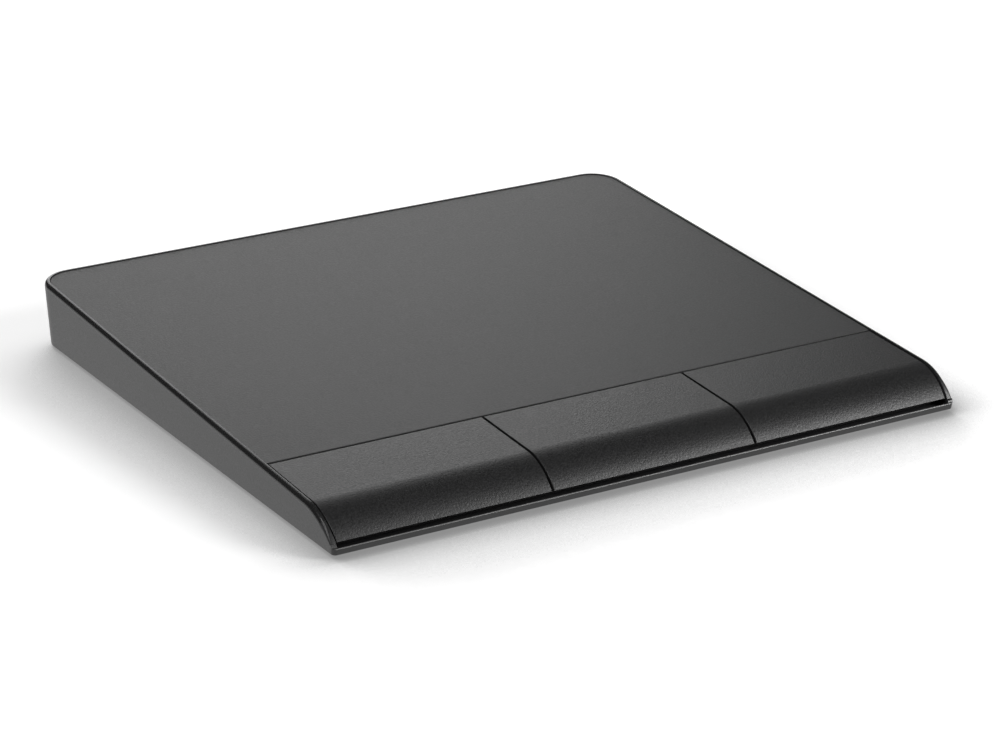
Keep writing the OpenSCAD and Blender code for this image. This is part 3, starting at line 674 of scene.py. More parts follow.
class Finish:
    """One material: a surface shader, and the nodes that vary it over the object's own coordinates."""

    def __init__(self, name, **constants):
        self.material = bpy.data.materials.new(name)
        self.material.use_nodes = True
        self.tree = self.material.node_tree
        self.surface = self.tree.nodes["Principled BSDF"]
        for socket, value in constants.items():
            self.surface.inputs[socket.replace("_", " ")].default_value = value
        self.place = self.node("ShaderNodeTexCoord", output="Object")

    def node(self, kind, settings=None, inputs=None, output=0):
        """Adds a node, sets it up, fills or links its sockets and gives back one output."""
        node = self.tree.nodes.new(kind)
        for setting, value in (settings or {}).items():
            setattr(node, setting, value)
        for socket, value in (inputs or {}).items():
            self.feed(node.inputs[socket], value)
        return Wire(self, node.outputs[output])

    def feed(self, socket, value):
        """Links a wire to a socket, or sets a plain value on it."""
        if isinstance(value, Wire):
            self.tree.links.new(value.socket, socket)
        else:
            socket.default_value = value

    def noise(self, grain, detail=2.0, roughness=0.5):
        """Noise whose features are about one grain wide, in metres."""
        return self.node(
            "ShaderNodeTexNoise", None,
            {"Vector": self.place, "Scale": 1 / grain, "Detail": detail, "Roughness": roughness},
        )

    def stripes(self, axis, pitch, width):
        """Even stripes along one of the object's own axes, as a mask."""
        along = self.node("ShaderNodeSeparateXYZ", None, {0: self.place}, output=axis)
        return (along % pitch) < width

    def mix(self, mask, first, second):
        """A colour between two others."""
        colour_a, colour_b, colour_out = 6, 7, 2
        return self.node(
            "ShaderNodeMix", {"data_type": "RGBA"},
            {"Factor": mask, colour_a: (*first, 1), colour_b: (*second, 1)}, output=colour_out,
        )

    def spread(self, noise, low, high):
        """A noise spread over a range and held at its ends."""
        ends = {"From Min": NOISE_SPAN[0], "From Max": NOISE_SPAN[1], "To Min": low, "To Max": high}
        return self.node("ShaderNodeMapRange", None, {"Value": noise, **ends})

    def feed_surface(self, socket, value):
        """Feeds a surface socket."""
        self.feed(self.surface.inputs[socket], value)

    def bump(self, height, depth):
        """Raises the surface by a height field of a given depth in metres."""
        full = {"Height": height, "Distance": depth, "Strength": 1.0}
        self.feed_surface("Normal", self.node("ShaderNodeBump", None, full))


def shade(colour, factor):
    """A colour made lighter or darker."""
    return tuple(min(1.0, c * factor) for c in colour)


def moulded(name, colour, roughness, grain, contrast, depth):
    """Moulded plastic with a fine spark texture: paler grains, soft clouding and a low bump."""
    finish = Finish(name, IOR=PLASTIC_IOR)
    sparks = finish.noise(grain, detail=1.0)
    clouds = finish.noise(CLOUD_GRAINS * grain, detail=3.0)
    tone = finish.spread(sparks * (1 - CLOUD_SHARE) + clouds * CLOUD_SHARE, 0.0, 1.0)
    finish.feed_surface("Base Color", finish.mix(tone, shade(colour, 1 - contrast), shade(colour, 1 + contrast)))
    finish.feed_surface("Roughness", finish.spread(sparks, roughness - ROUGH_SPAN, roughness + ROUGH_SPAN))
    finish.bump(sparks, depth)
    return finish.material


def circuit(name, mask_colour, track_colour):
    """Solder mask over a net of copper tracks."""
    finish = Finish(name, IOR=GLOSS_IOR)
    across = finish.stripes("X", pitch=0.0021, width=0.0004)
    along = finish.stripes("Y", pitch=0.0034, width=0.0004)
    zones = finish.noise(grain=0.012, detail=0.0)
    tracks = (zones > 0.5) * across + (zones < 0.44) * along
    finish.feed_surface("Base Color", finish.mix(tracks, mask_colour, track_colour))
    finish.feed_surface("Roughness", finish.spread(finish.noise(grain=0.0008), low=0.3, high=0.42))
    finish.bump(tracks, depth=0.00004)
    return finish.material


def metal(name, colour, roughness, stretch):
    """Drawn or rolled metal with fine lines along one axis."""
    finish = Finish(name, Metallic=1.0)
    lines = finish.node("ShaderNodeMapping", None, {"Vector": finish.place, "Scale": stretch})
    fine = {"Vector": lines, "Scale": LINES_PER_METRE, "Detail": 3.0}
    grain = finish.node("ShaderNodeTexNoise", None, fine)
    finish.feed_surface("Base Color", finish.mix(grain, shade(colour, 0.82), shade(colour, 1.08)))
    finish.feed_surface("Roughness", finish.spread(grain, low=roughness - 0.07, high=roughness + 0.08))
    finish.bump(grain, depth=0.000004)
    return finish.material


def flat_cable(name, laminate, conductor):
    """Pale laminate over parallel conductors."""
    finish = Finish(name, IOR=GLOSS_IOR)
    strips = finish.stripes("X", pitch=0.001, width=0.0006)
    finish.feed_surface("Base Color", finish.mix(strips, laminate, conductor))
    finish.feed_surface("Roughness", finish.spread(finish.noise(grain=0.002), low=0.25, high=0.4))
    finish.bump(strips, depth=0.00003)
    return finish.material


def jacket(name, colour):
    """Plain metal jacket of a cell, with faint scuffs."""
    finish = Finish(name, Metallic=0.6, IOR=GLOSS_IOR)
    scuffs = finish.noise(grain=0.0012, detail=4.0, roughness=0.6)
    finish.feed_surface("Base Color", finish.mix(scuffs, shade(colour, 0.75), shade(colour, 1.25)))
    finish.feed_surface("Roughness", finish.spread(scuffs, low=0.28, high=0.46))
    return finish.material


def make_finishes():
    """All the materials, by name."""
    c = bpy.context.scene.trackpad_finishes
    # Name, colour, roughness, grain, contrast of the grain and its depth in metres
    plastics = {
        "case": ("satin_case", c.case, 0.4, FINE, 0.12, 0.00001),
        "rim": ("smooth_rim", c.rim, 0.26, FINE, 0.08, 0.000002),
        "panel": ("matte_film", c.panel, 0.5, SPARK, 0.35, 0.000035),
        "button": ("spark_plastic", c.button, 0.44, SPARK, 0.3, 0.000045),
        # The edge finish is a painted highlight: its pale colour stands in for light caught on thin edges
        "edge": ("edge_plastic", c.edge, 0.3, FINE, 0.08, 0.000002),
        "inner": ("black_plastic", c.inner, 0.5, COARSE, 0.15, 0.00001),
        "rubber": ("soft_rubber", c.rubber, 0.75, COARSE, 0.3, 0.00002),
        "adhesive": ("adhesive_sheet", c.adhesive, 0.6, COARSE, 0.06, 0.00001),
    }
    return {
        **{name: moulded(*row) for name, row in plastics.items()},
        "board": circuit("green_board", c.board, c.track),
        "cable": flat_cable("flat_cable", c.cable, c.conductor),
        "steel": metal("plain_steel", c.steel, roughness=0.3, stretch=(0.05, 1.0, 1.0)),
        "contact": metal("plated_contact", c.contact, roughness=0.25, stretch=(1.0, 1.0, 0.05)),
        "cell": jacket("cell_jacket", c.cell),
    }


# Materials made so far, by short name
MADE = {}


def finish_of(name):
    """A material by its short name, made on the first call."""
    if not MADE:
        MADE.update(make_finishes())
    return MADE[name]


class TRACKPAD_OT_stage(bpy.types.Operator):
    """Sets up the pale floor, the soft lights and the camera"""

    bl_idname = "trackpad.stage"
    bl_label = "Stage"

    def execute(self, context):
        studio = context.scene.trackpad_studio
        context.scene.view_settings.view_transform = "Standard"
        self.make_floor(studio)
        self.make_sky(studio)
        self.make_lights(studio)
        self.make_camera(studio)
        return {"FINISHED"}

    def make_floor(self, studio):
        """A wide floor, pale to the camera, with a painted contact shadow that only the camera sees."""
        floor = begin("floor", bpy.ops.mesh.primitive_plane_add, size=studio.floor_span)
        finish = Finish("pale_floor", Roughness=1.0, Specular_IOR_Level=0.0, Emission_Strength=1.0)
        paths = finish.tree.nodes.new("ShaderNodeLightPath").outputs
        camera, glossy, through = (
            Wire(finish, paths[ray]) for ray in ("Is Camera Ray", "Is Glossy Ray", "Is Transmission Ray")
        )
        towards = finish.node("ShaderNodeCombineXYZ", None, dict(enumerate(studio.shadow_from)))
        open_sky = finish.node(
            "ShaderNodeAmbientOcclusion", {"samples": studio.shadow_samples},
            {"Distance": studio.shadow_reach, "Normal": towards}, output="AO",
        )
        mirrored = glossy + through
        # Painted contact shadow: the floor's colour to the camera is darkened by ambient occlusion, taken from one
        # side
        lit = camera * open_sky ** studio.shadow_depth * studio.floor_white
        finish.feed_surface("Base Color", lit + (1 - camera - mirrored) * studio.floor_plain)
        # The floor glows faintly to the camera, which lifts the painted shadow, and glows evenly in reflections
        finish.feed_surface("Emission Color", camera * studio.shadow_lift + mirrored * studio.floor_shine)
        floor.data.materials.append(finish.material)

    def make_sky(self, studio):
        """White to the camera, and a faint even light to all else."""
        world = bpy.data.worlds.new("soft_sky")
        world.use_nodes = True
        nodes, links = world.node_tree.nodes, world.node_tree.links
        paths = nodes.new("ShaderNodeLightPath")
        strength = nodes.new("ShaderNodeMapRange")
        links.new(paths.outputs["Is Camera Ray"], strength.inputs["Value"])
        strength.inputs["To Min"].default_value = studio.sky
        strength.inputs["To Max"].default_value = 1.0
        nodes["Background"].inputs["Color"].default_value = (1, 1, 1, 1)
        links.new(strength.outputs["Result"], nodes["Background"].inputs["Strength"])
        bpy.context.scene.world = world

    def make_lights(self, studio):
        """Soft lamps, each as strong as its share of the floor's light asks for."""
        for name, setting, place, span in LAMPS:
            place, share = Vector(place), getattr(studio, setting)
            bpy.ops.object.light_add(type="AREA", location=place)
            lamp = bpy.context.object
            lamp.name = lamp.data.name = name
            lamp.rotation_euler = place.to_track_quat("Z", "Y").to_euler()
            lamp.data.shape = "RECTANGLE"
            lamp.data.size, lamp.data.size_y = span
            lamp.data.energy = share * math.pi ** 2 * place.length_squared / place.normalized().z

    def make_camera(self, studio):
        """The camera, aimed from the angles and the distance that are set."""
        turned = Matrix.Rotation(studio.azimuth, 3, "Z")
        back = turned @ Vector((0, -math.cos(studio.elevation), math.sin(studio.elevation)))
        bpy.ops.object.camera_add(
            location=Vector(studio.aim) + studio.distance * back,
            rotation=(math.pi / 2 - studio.elevation, 0, studio.azimuth),
        )
        camera = bpy.context.object
        camera.name = camera.data.name = "camera"
        camera.data.sensor_fit = "HORIZONTAL"
        camera.data.sensor_width = SENSOR_MM
        camera.data.lens = studio.lens
        camera.data.clip_start, camera.data.clip_end = CLIP_RANGE
        bpy.context.scene.camera = camera


class TRACKPAD_OT_tray(bpy.types.Operator):
    """Models the tray with its leaning walls, rounded rim, lip, pockets and battery bay"""

    bl_idname = "trackpad.tray"
    bl_label = "Tray"

    def execute(self, context):
        plan = layout()
        tray = self.make_body(plan)
        steps = (
            self.round_rim, self.hollow_out, self.cut_trough, self.add_bay, self.add_ribs,
            self.add_posts, self.cut_bay, self.cut_seats, self.cut_slot, self.shape_lip,
        )
        for step in steps:
            step(tray, plan)
        tidy_mesh(tray)
        self.paint(tray, plan)
        return {"FINISHED"}

    def make_body(self, plan):
        """The leaning block, trimmed to the sheet over the slope, the nose and the lip."""
        case = plan.case
        above = CLEAR_CUT / 4
        deep = 2 * plan.height
        spread = above * math.tan(case.draft)
        lean = deep * math.tan(case.draft)
        low = Vector((-plan.half - spread, plan.front_s - spread, above))
        high = Vector((plan.half + spread, plan.back_s + spread, above - deep))
        tray = plate("tray", low, high, case.back_corner, case.front_corner)
        with editing(tray):
            pick("VERT", lambda v: v.co.z < above - deep / 2)
            span = high - low
            shrink = (1 - 2 * lean / span.x, 1 - 2 * lean / span.y, 1)
            middle = (low + high) / 2
            bpy.ops.transform.resize(value=shrink, center_override=(middle.x, middle.y, high.z))
        settle(tray, plan.on_slope)
        sheet = nose_sheet(plan, "tray_top", 0.0, plan.back_s + CLEAR_CUT, plan.z_lip)
        with editing(sheet):
            thicken(-2 * CLEAR_CUT)
        slice_off(sheet, (0, 0, plan.z_base), DOWN)
        return carve(tray, sheet, "INTERSECT")

    def round_rim(self, tray, plan):
        """Rounds the rim, in steps that narrow towards the front corners, and the lower edge."""
        case = plan.case

        def top_edge(edge):
            return joins_wall(edge, lambda f: f.normal.z > STEEP)

        def step_back(edge):
            """Which step of the narrowing round an edge lies in, counted from the front corner."""
            past = edge_centre(edge).y - plan.y_front - case.front_corner
            return min(case.narrow_steps, math.ceil(past / case.narrow_run * case.narrow_steps))

        def narrowed(step):
            width = case.lip_round + (case.rim_round - case.lip_round) * step / case.narrow_steps
            return width, lambda e: top_edge(e) and step_back(e) == step

        round_together(
            tray, case.round_steps,
            (case.base_round, lambda e: joins_wall(e, lambda f: f.normal.z < -STEEP)),
            *(narrowed(step + 1) for step in range(case.narrow_steps)),
        )

    def hollow_out(self, tray, plan):
        """Cuts the seat of the panel, the pocket of the buttons and the inside."""
        case = plan.case
        half = plan.half - case.rim_width
        seat = plate(
            "panel_seat", (-half, plan.seam_s, plan.panel_n),
            (half, plan.back_s - case.rim_width, CLEAR_CUT), case.back_corner - case.rim_width,
        )
        carve(tray, settle(seat, plan.on_slope))
        s_back = plan.seam_s + case.pocket_back
        pocket = nose_sheet(plan, "button_pocket", case.pocket_depth, s_back, plan.z_lip - POCKET_SINK)
        with editing(pocket):
            thicken(CLEAR_CUT)
        for side in (-1, 1):
            slice_off(pocket, *wall_plane(plan, case.rim_width, side))
        carve(tray, pocket)
        inner = plan.half - case.wall
        front = (plan.on_slope.inverted() @ Vector((0, plan.y_front + case.lip_thick, plan.z_floor))).y
        inside = plate(
            "tray_inside", (-inner, front, -CLEAR_CUT), (inner, plan.back_s - case.wall, CLEAR_CUT),
            case.back_corner - case.wall,
        )
        settle(inside, plan.on_slope)
        slice_off(inside, (0, 0, plan.z_floor), DOWN)
        carve(tray, inside)

    def cut_trough(self, tray, plan):
        """Cuts the trough behind the lip."""
        case = plan.case
        y, half = plan.y_front + case.lip_thick, plan.half - case.rim_width - case.lip_thick
        trough = block(
            "lip_trough", (-half, y, plan.z_lip - case.trough_depth),
            (half, y + case.trough_width, plan.z_lip + case.trough_depth),
        )
        carve(tray, trough)

    def add_bay(self, tray, plan):
        """Raises the flange that carries the door's step, and the walls of the battery bay."""
        case, under = plan.case, plan.under
        low, high = bay_corners(plan)
        sunk = Vector((0, 0, case.floor / 2))
        walls = (
            ("flange", under.door_overlap + case.floor, plan.z_floor + under.bay_wall),
            ("bay", under.bay_wall, bay_top(plan)),
        )
        for name, thick, top in walls:
            step = Vector((thick, thick, 0))
            corner = high + step
            corner.y = min(corner.y, plan.y_back - case.wall)
            corner.z = top
            carve(tray, block(name, low - step - sunk, corner), "UNION")

    def add_ribs(self, tray, plan):
        """Raises two long ribs on the floor, and one across at each rear row of screws."""
        case, under = plan.case, plan.under
        half, sunk = case.rib_thick / 2, case.floor / 2
        z_from, z_to = plan.z_floor - sunk, plan.z_floor + case.rib_height
        front = joint_named("middle_press")["pos_m"][1] + case.rib_start
        back = bay_corners(plan)[0].y - under.door_overlap - case.floor
        for side in (-1, 1):
            x = side * case.rib_place
            carve(tray, block("long_rib", (x - half, front, z_from), (x + half, back, z_to)), "UNION")
        screws = centres("case_screws")
        reach = max(x for x, y in screws)
        for y in sorted({y for x, y in screws if x > 0})[1:]:
            carve(tray, block("cross_rib", (-reach, y - half, z_from), (reach, y + half, z_to)), "UNION")

    def add_posts(self, tray, plan):
        """Raises the screw bosses and the standoffs of the switch board."""
        under = plan.under
        sunk = Vector((0, 0, plan.z_floor - plan.z_base)) / 2
        boss = disc("screw_boss", under.boss_radius, -sunk, Vector((0, 0, under.boss_height)))
        carve(tray, copies(boss, places_of("case_screws", plan.z_floor)), "UNION")
        board_z, screw_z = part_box("switch_board")[0].z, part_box("board_screws")[0].z
        places = places_of("board_screws")
        post = disc("standoff", under.standoff_radius, (0, 0, plan.z_floor - sunk.z), (0, 0, board_z))
        carve(tray, copies(post, places), "UNION")
        bore = disc(
            "standoff_bore", under.standoff_bore, (0, 0, screw_z - under.screw_room),
            (0, 0, board_z + under.screw_room),
        )
        carve(tray, copies(bore, places))

    def cut_bay(self, tray, plan):
        """Cuts the inside of the bay, the door's hole and the notches of its tabs."""
        under = plan.under
        low, high = bay_corners(plan)
        reach = Vector((0, 0, CLEAR_CUT))
        carve(tray, block("bay_inside", low - reach, high + reach))
        door_low, door_high = door_hole(plan)
        hole = plate(
            "door_hole", (*door_low, -CLEAR_CUT), (*door_high, plan.z_floor),
            under.door_corner, under.door_corner, CORNER_STEPS,
        )
        carve(tray, hole)
        half = under.tab_width / 2 + under.tab_side
        front = door_low[1] + under.door_gap - under.tab_reach - under.tab_room
        back = door_low[1] + 2 * under.door_overlap
        roof = plan.z_floor + under.tab_reach + under.tab_thick + under.tab_room
        for x in tab_places(plan):
            carve(tray, block("tab_notch", (x - half, front, plan.z_floor), (x + half, back, roof)))

    def cut_seats(self, tray, plan):
        """Cuts the seats of the case screws and of the feet."""
        under = plan.under
        head_r = radius_of("case_screws") + under.screw_room
        seat = disc("screw_hole", head_r, (0, 0, -CLEAR_CUT), (0, 0, plan.z_base + under.screw_seat))
        with editing(seat):
            pick("FACE", lambda f: f.normal.z > FACING)
            bpy.ops.mesh.inset(thickness=head_r - under.screw_shank - under.screw_room)
            extrude(0, 0, CLEAR_CUT)
        carve(tray, copies(seat, places_of("case_screws")))
        foot_r, foot_top = radius_of("rubber_feet") + under.foot_room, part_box("rubber_feet")[1].z
        foot = disc("foot_seat", foot_r, (0, 0, -CLEAR_CUT), (0, 0, foot_top))
        carve(tray, copies(foot, places_of("rubber_feet")))

    def cut_slot(self, tray, plan):
        """Cuts the slot that the power slider travels in."""
        under = plan.under
        knob_low, knob_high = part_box("power_slider")
        reach = Vector((under.knob_travel + under.knob_gap, under.knob_gap, 0))
        low, high = knob_low - reach, knob_high + reach
        corner = (high.y - low.y) / 4
        slot = plate(
            "power_slot", (low.x, low.y, -CLEAR_CUT),
            (high.x, high.y, plan.z_floor + under.screw_room), corner, corner, CORNER_STEPS,
        )
        carve(tray, slot)

    def shape_lip(self, tray, plan):
        """Rounds the lip's front edge with a hollow cutter."""
        around, reach = plan.case.lip_round, plan.half + CLEAR_CUT
        top = plan.z_lip - COVE_SINK
        cove = block(
            "lip_cove", (-reach, plan.y_front - around, top - around),
            (reach, plan.y_front + around, top + around),
        )
        axis_y, axis_z, beyond = plan.y_front + around, top - around, reach + around
        ends = (-beyond, axis_y, axis_z), (beyond, axis_y, axis_z)
        carve(cove, disc("lip_bead", around, *ends, across=True))
        carve(tray, cove)

    def paint(self, tray, plan):
        """Gives the walls, the rim and the inside their own finishes, and paints a highlight on the lip's crest
        with the pale edge finish.
        """
        case, radius = plan.case, plan.keys.nose_radius
        into_slope = plan.on_slope.inverted()

        def depth(point):
            local = into_slope @ point
            if local.y > plan.nose_s:
                return -local.z
            return radius - math.hypot(point.y - plan.nose.y, point.z - plan.nose.z)

        # Faces of the lip's round, which get the pale edge finish as a painted highlight
        def is_crest(face):
            near_top = plan.z_lip - case.lip_round < face.center.z < plan.z_lip + NEAR
            return near_top and face.center.y < plan.y_front + case.lip_thick and face.normal.z < ROUNDED

        def is_rim(face):
            if face.center.y < plan.y_front + case.front_corner + case.narrow_run:
                return False
            deepest = max(depth(tray.data.vertices[i].co) for i in face.vertices)
            return deepest < RIM_REACH * case.rim_round and face.center.z > plan.z_lip + NEAR

        def in_trough(point):
            behind = point.y - plan.y_front - case.lip_thick
            low = plan.z_lip - case.trough_depth
            return -NEAR < behind < case.trough_width + NEAR and low - NEAR < point.z < plan.z_lip

        def is_inside(face):
            if in_trough(face.center) and abs(face.center.x) < plan.half - case.rim_width:
                return True
            if face.center.z < plan.z_floor - POCKET_SINK - NEAR:
                return False
            inward = -face.normal.dot(Vector((face.center.x, face.center.y, 0)).normalized())
            return inward > STEEP or (face.normal.z > STEEP and depth(face.center) > case.rim_rise)

        looks = ("case", "rim", "inner", "edge")
        stand_in(tray, "base_tray", BASE, "case_plastic", *(finish_of(look) for look in looks))
        for face in tray.data.polygons:
            # The crest takes the pale edge finish, a painted highlight
            if is_crest(face):
                look = "edge"
            elif is_rim(face):
                look = "rim"
            else:
                look = "inner" if is_inside(face) else "case"
            face.material_index = looks.index(look)


class TRACKPAD_OT_touch_panel(bpy.types.Operator):
    """Models the touch panel, a plate with round back corners and softened edges"""

    bl_idname = "trackpad.touch_panel"
    bl_label = "Touch panel"

    def execute(self, context):
        plan = layout()
        case = plan.case
        inset = case.rim_width + case.panel_gap
        panel = plate(
            "panel", (inset - plan.half, plan.seam_s + plan.keys.seam_gap / 2, plan.panel_n),
            (plan.half - inset, plan.back_s - inset, -case.rim_rise), case.back_corner - inset,
        )
        top = -case.rim_rise - TOUCH
        round_edges(panel, case.panel_round, lambda e: all(v.co.z > top for v in e.verts))
        settle(panel, plan.on_slope)
        tidy_mesh(panel)
        stand_in(panel, "touch_panel", BASE, "panel_film", finish_of("panel"))
        return {"FINISHED"}


class TRACKPAD_OT_buttons(bpy.types.Operator):
    """Models the three buttons: a skin over the nose, ribs, a boss and two hinge arms each"""

    bl_idname = "trackpad.buttons"
    bl_label = "Buttons"

    def execute(self, context):
        plan = layout()
        for name, (x_from, x_to) in zip(BUTTONS, plan.button_x):
            self.make_button(plan, name, x_from, x_to)
        return {"FINISHED"}

    def make_button(self, plan, name, x_from, x_to):
        """One button, from its skin to the eyes on its arms."""
        case, keys = plan.case, plan.keys
        top = case.rim_rise
        button = curved_slab(plan, name + "_cap", x_from, x_to, top, top + keys.skin)
        for side in (-1, 1):
            slice_off(button, *wall_plane(plan, case.rim_width + keys.side_gap, side))
        self.soften(button, plan, top)
        press_low, press_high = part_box(name + "_plunger")
        press_x, press_y = (press_low.x + press_high.x) / 2, (press_low.y + press_high.y) / 2
        switch_low, switch_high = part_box(name + "_switch")
        beside, inset = switch_high.x - switch_low.x, keys.arm_inset / 2
        half, mid_skin = keys.rib_thick / 2, top + keys.skin / 2
        pieces = [
            curved_slab(plan, "rib", x - half, x + half, mid_skin, top + keys.rib_depth)
            for x in (x_from + inset, press_x - beside, press_x + beside, x_to - inset)
        ]
        roof = (plan.on_slope @ Vector((0, press_y, -mid_skin))).z
        ends = (press_x, press_y, press_high.z + keys.boss_gap), (press_x, press_y, roof)
        pieces.append(disc("switch_boss", keys.boss_radius, *ends))
        pieces += [self.make_arm(plan, name, x) for x in (x_from + keys.arm_inset, x_to - keys.arm_inset)]
        carve(button, merge(pieces), "UNION")
        tidy_mesh(button)
        # The lower front edge gets the pale edge finish, a painted highlight
        finishes = finish_of("button"), finish_of("edge")
        stand_in(button, name + "_button", name + "_key", "button_plastic", *finishes)
        for face in button.data.polygons:
            is_low = face.center.z < plan.z_edge + keys.lower_round
            face.material_index = int(is_low and face.normal.y < -STEEP and face.normal.z > -STEEP)

    def soften(self, button, plan, top):
        """Rounds the outline of the outer skin."""
        keys = plan.keys
        into_slope = plan.on_slope.inverted()

        def on_skin(face):
            local = into_slope @ face.calc_center_median()
            if local.y > plan.nose_s:
                return abs(local.z + top) < SKIN_SLACK
            reach = math.hypot(local.y - plan.nose_s, local.z + keys.nose_radius)
            return abs(reach - (keys.nose_radius - top)) < SKIN_SLACK

        def outline(edge):
            return len(edge.link_faces) == 2 and sum(on_skin(f) for f in edge.link_faces) == 1

        def is_lower(edge):
            return all(v.co.z < plan.z_edge + NEAR for v in edge.verts)

        round_together(
            button, EDGE_STEPS,
            (keys.edge_round, lambda e: outline(e) and not is_lower(e)),
            (keys.lower_round, lambda e: outline(e) and is_lower(e)),
        )

    def make_arm(self, plan, name, x):
        """A hinge arm: a bar that tapers to the skin, an eye round the rod and its bore."""
        keys = plan.keys
        eye = plan.on_slope.inverted() @ Vector(joint_named(name + "_press")["pos_m"])
        half = keys.arm_width / 2
        arm = block(
            "arm", (x - half, plan.seam_s - keys.arm_root, eye.z - keys.bar_half),
            (x + half, eye.y, eye.z + keys.bar_half),
        )
        roots = ((1, 3 * keys.skin / 4), (-1, keys.rib_depth))
        with editing(arm):
            for side, depth in roots:
                pick("VERT", lambda v: v.co.y < plan.seam_s and (v.co.z - eye.z) * side > 0)
                lift = -plan.case.rim_rise - depth - (eye.z + side * keys.bar_half)
                bpy.ops.transform.translate(value=(0, 0, lift))
        ends = (x - half, eye.y, eye.z), (x + half, eye.y, eye.z)
        carve(arm, disc("arm_eye", keys.eye_radius, *ends, across=True), "UNION")
        wide = (x - 2 * half, eye.y, eye.z), (x + 2 * half, eye.y, eye.z)
        carve(arm, disc("arm_bore", keys.bore_radius, *wide, across=True))
        return settle(arm, plan.on_slope)


class TRACKPAD_OT_feet(bpy.types.Operator):
    """Models one rubber foot with a soft edge and a dished face, and copies it to each corner"""

    bl_idname = "trackpad.feet"
    bl_label = "Rubber feet"

    def execute(self, context):
        under = context.scene.trackpad_underside
        foot = disc("foot", radius_of("rubber_feet"), (0, 0, 0), (0, 0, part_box("rubber_feet")[1].z))
        round_edges(foot, under.foot_round, lambda e: lies_at(e, 0))
        with editing(foot):
            pick("FACE", lambda f: f.normal.z < -LEVEL)
            bpy.ops.mesh.inset(thickness=under.foot_round)
            bpy.ops.mesh.inset(thickness=under.foot_round, depth=-under.foot_dish)
        feet = copies(foot, places_of("rubber_feet"))
        feet.name = feet.data.name = "feet"
        tidy_mesh(feet)
        stand_in(feet, "rubber_feet", BASE, "rubber", finish_of("rubber"))
        return {"FINISHED"}


class TRACKPAD_OT_battery_door(bpy.types.Operator):
    """Models the battery door with its finger grooves and two tabs"""

    bl_idname = "trackpad.battery_door"
    bl_label = "Battery door"

    def execute(self, context):
        plan = layout()
        under = plan.under
        low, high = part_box("battery_door")
        front = low.y + under.tab_reach
        corner = under.door_corner - under.door_gap
        door = plate(
            "door", (low.x, front, low.z), (high.x, high.y, low.z + under.door_thick),
            corner, corner, CORNER_STEPS,
        )
        round_edges(door, under.door_round, lambda e: lies_at(e, low.z))
        self.cut_grip(door, plan, low)
        self.add_tabs(door, plan, low, high, front)
        tidy_mesh(door)
        stand_in(door, "battery_door", "door", "case_plastic", finish_of("case"))
        return {"FINISHED"}

    def cut_grip(self, door, plan, low):
        """Cuts round-bottomed finger grooves near the edge that lifts."""
        under = plan.under
        half, bay_back = under.grip_length / 2, bay_corners(plan)[1].y
        grooves = []
        for row in range(under.grip_count):
            y = bay_back - under.grip_pitch * (row + 1)
            ends = (-half, y, low.z), (half, y, low.z)
            grooves.append(disc("groove", under.grip_radius, *ends, across=True, sides=GROOVE_SIDES))
        carve(door, merge(grooves))

    def add_tabs(self, door, plan, low, high, front):
        """Adds two hooked tabs at the edge that turns."""
        under = plan.under
        neck, half = under.door_overlap - 2 * under.door_gap, under.tab_width / 2
        root, hook = low.z + under.door_thick / 2, high.z - under.tab_thick
        for x in tab_places(plan):
            tab = block("tab", (x - half, front, root), (x + half, front + neck, high.z))
            with editing(tab):
                bpy.ops.mesh.bisect(plane_co=(0, 0, hook), plane_no=UP)
                pick("FACE", lambda f: f.normal.y < -FACING and f.calc_center_median().z > hook)
                extrude(0, -under.tab_reach, 0)
            carve(door, tab, "UNION")


class TRACKPAD_OT_power_slider(bpy.types.Operator):
    """Models the power slider, a small knob with cross grooves"""

    bl_idname = "trackpad.power_slider"
    bl_label = "Power slider"

    def execute(self, context):
        under = context.scene.trackpad_underside
        low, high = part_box("power_slider")
        knob = block("knob", low, high)
        round_edges(knob, under.knob_round, lambda e: lies_at(e, low.z))
        middle, ends = (low + high) / 2, ((0, 0, -GROOVE_REACH), (0, 0, GROOVE_REACH))
        grooves = []
        for step in (-1, 0, 1):
            x = middle.x + step * (high.x - low.x) / 4
            place = Matrix.Translation((x, middle.y, low.z)) @ Matrix.Rotation(math.pi / 2, 4, "X")
            grooves.append(settle(disc("groove", under.knob_gap, *ends, sides=GROOVE_SIDES), place))
        carve(knob, merge(grooves))
        tidy_mesh(knob)
        stand_in(knob, "power_slider", "power_knob", "frame_plastic", finish_of("inner"))
        return {"FINISHED"}


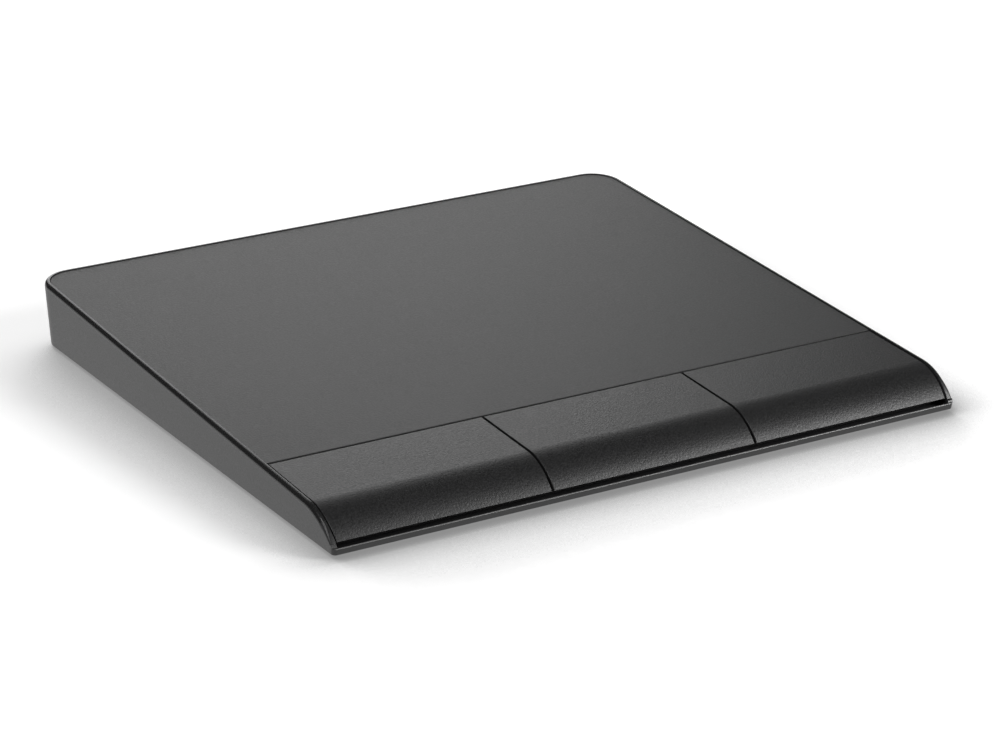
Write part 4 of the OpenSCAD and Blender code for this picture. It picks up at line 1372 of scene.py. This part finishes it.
class TRACKPAD_OT_inner_parts(bpy.types.Operator):
    """Gives the parts inside, which keep their CAD shapes, their finishes"""

    bl_idname = "trackpad.inner_parts"
    bl_label = "Inner parts"

    FINISH_OF_SLOT = {
        "frame_plastic": "inner", "circuit_board": "board", "chip_black": "inner",
        "adhesive": "adhesive", "flat_cable": "cable", "steel": "steel",
        "contact_metal": "contact", "cell_jacket": "cell",
    }

    def execute(self, context):
        for subpart in frame["record"]["subparts"]:
            node = frame["nodes"][subpart["node"]]
            finish = self.FINISH_OF_SLOT.get(subpart["material_slot"])
            if finish and not node.hide_render:
                node.data.materials.clear()
                node.data.materials.append(finish_of(finish))
        return {"FINISHED"}


class TRACKPAD_PT_sidebar(bpy.types.Panel):
    """Lists the steps in the order that they are run"""

    bl_idname = "TRACKPAD_PT_sidebar"
    bl_label = "Trackpad"
    bl_space_type = "VIEW_3D"
    bl_region_type = "UI"
    bl_category = "Trackpad"

    def draw(self, context):
        for step in STEPS:
            self.layout.operator(step.bl_idname)


GROUPS = {
    "trackpad_case": CaseSizes,
    "trackpad_buttons": ButtonSizes,
    "trackpad_underside": UndersideSizes,
    "trackpad_finishes": Finishes,
    "trackpad_studio": Studio,
}
STEPS = (
    TRACKPAD_OT_stage,
    TRACKPAD_OT_tray,
    TRACKPAD_OT_touch_panel,
    TRACKPAD_OT_buttons,
    TRACKPAD_OT_feet,
    TRACKPAD_OT_battery_door,
    TRACKPAD_OT_power_slider,
    TRACKPAD_OT_inner_parts,
)
CLASSES = (*GROUPS.values(), *STEPS, TRACKPAD_PT_sidebar)


def register():
    """Registers the classes and hangs the property groups on the scene."""
    for cls in CLASSES:
        bpy.utils.register_class(cls)
    for name, group in GROUPS.items():
        setattr(bpy.types.Scene, name, PointerProperty(type=group))


def unregister():
    """Takes the property groups and the classes away again."""
    for name in GROUPS:
        delattr(bpy.types.Scene, name)
    for cls in reversed(CLASSES):
        bpy.utils.unregister_class(cls)


def main():
    """Runs every step in order."""
    register()
    for step in STEPS:
        group, name = step.bl_idname.split(".")
        getattr(getattr(bpy.ops, group), name)()


if __name__ == "__main__":
    main()
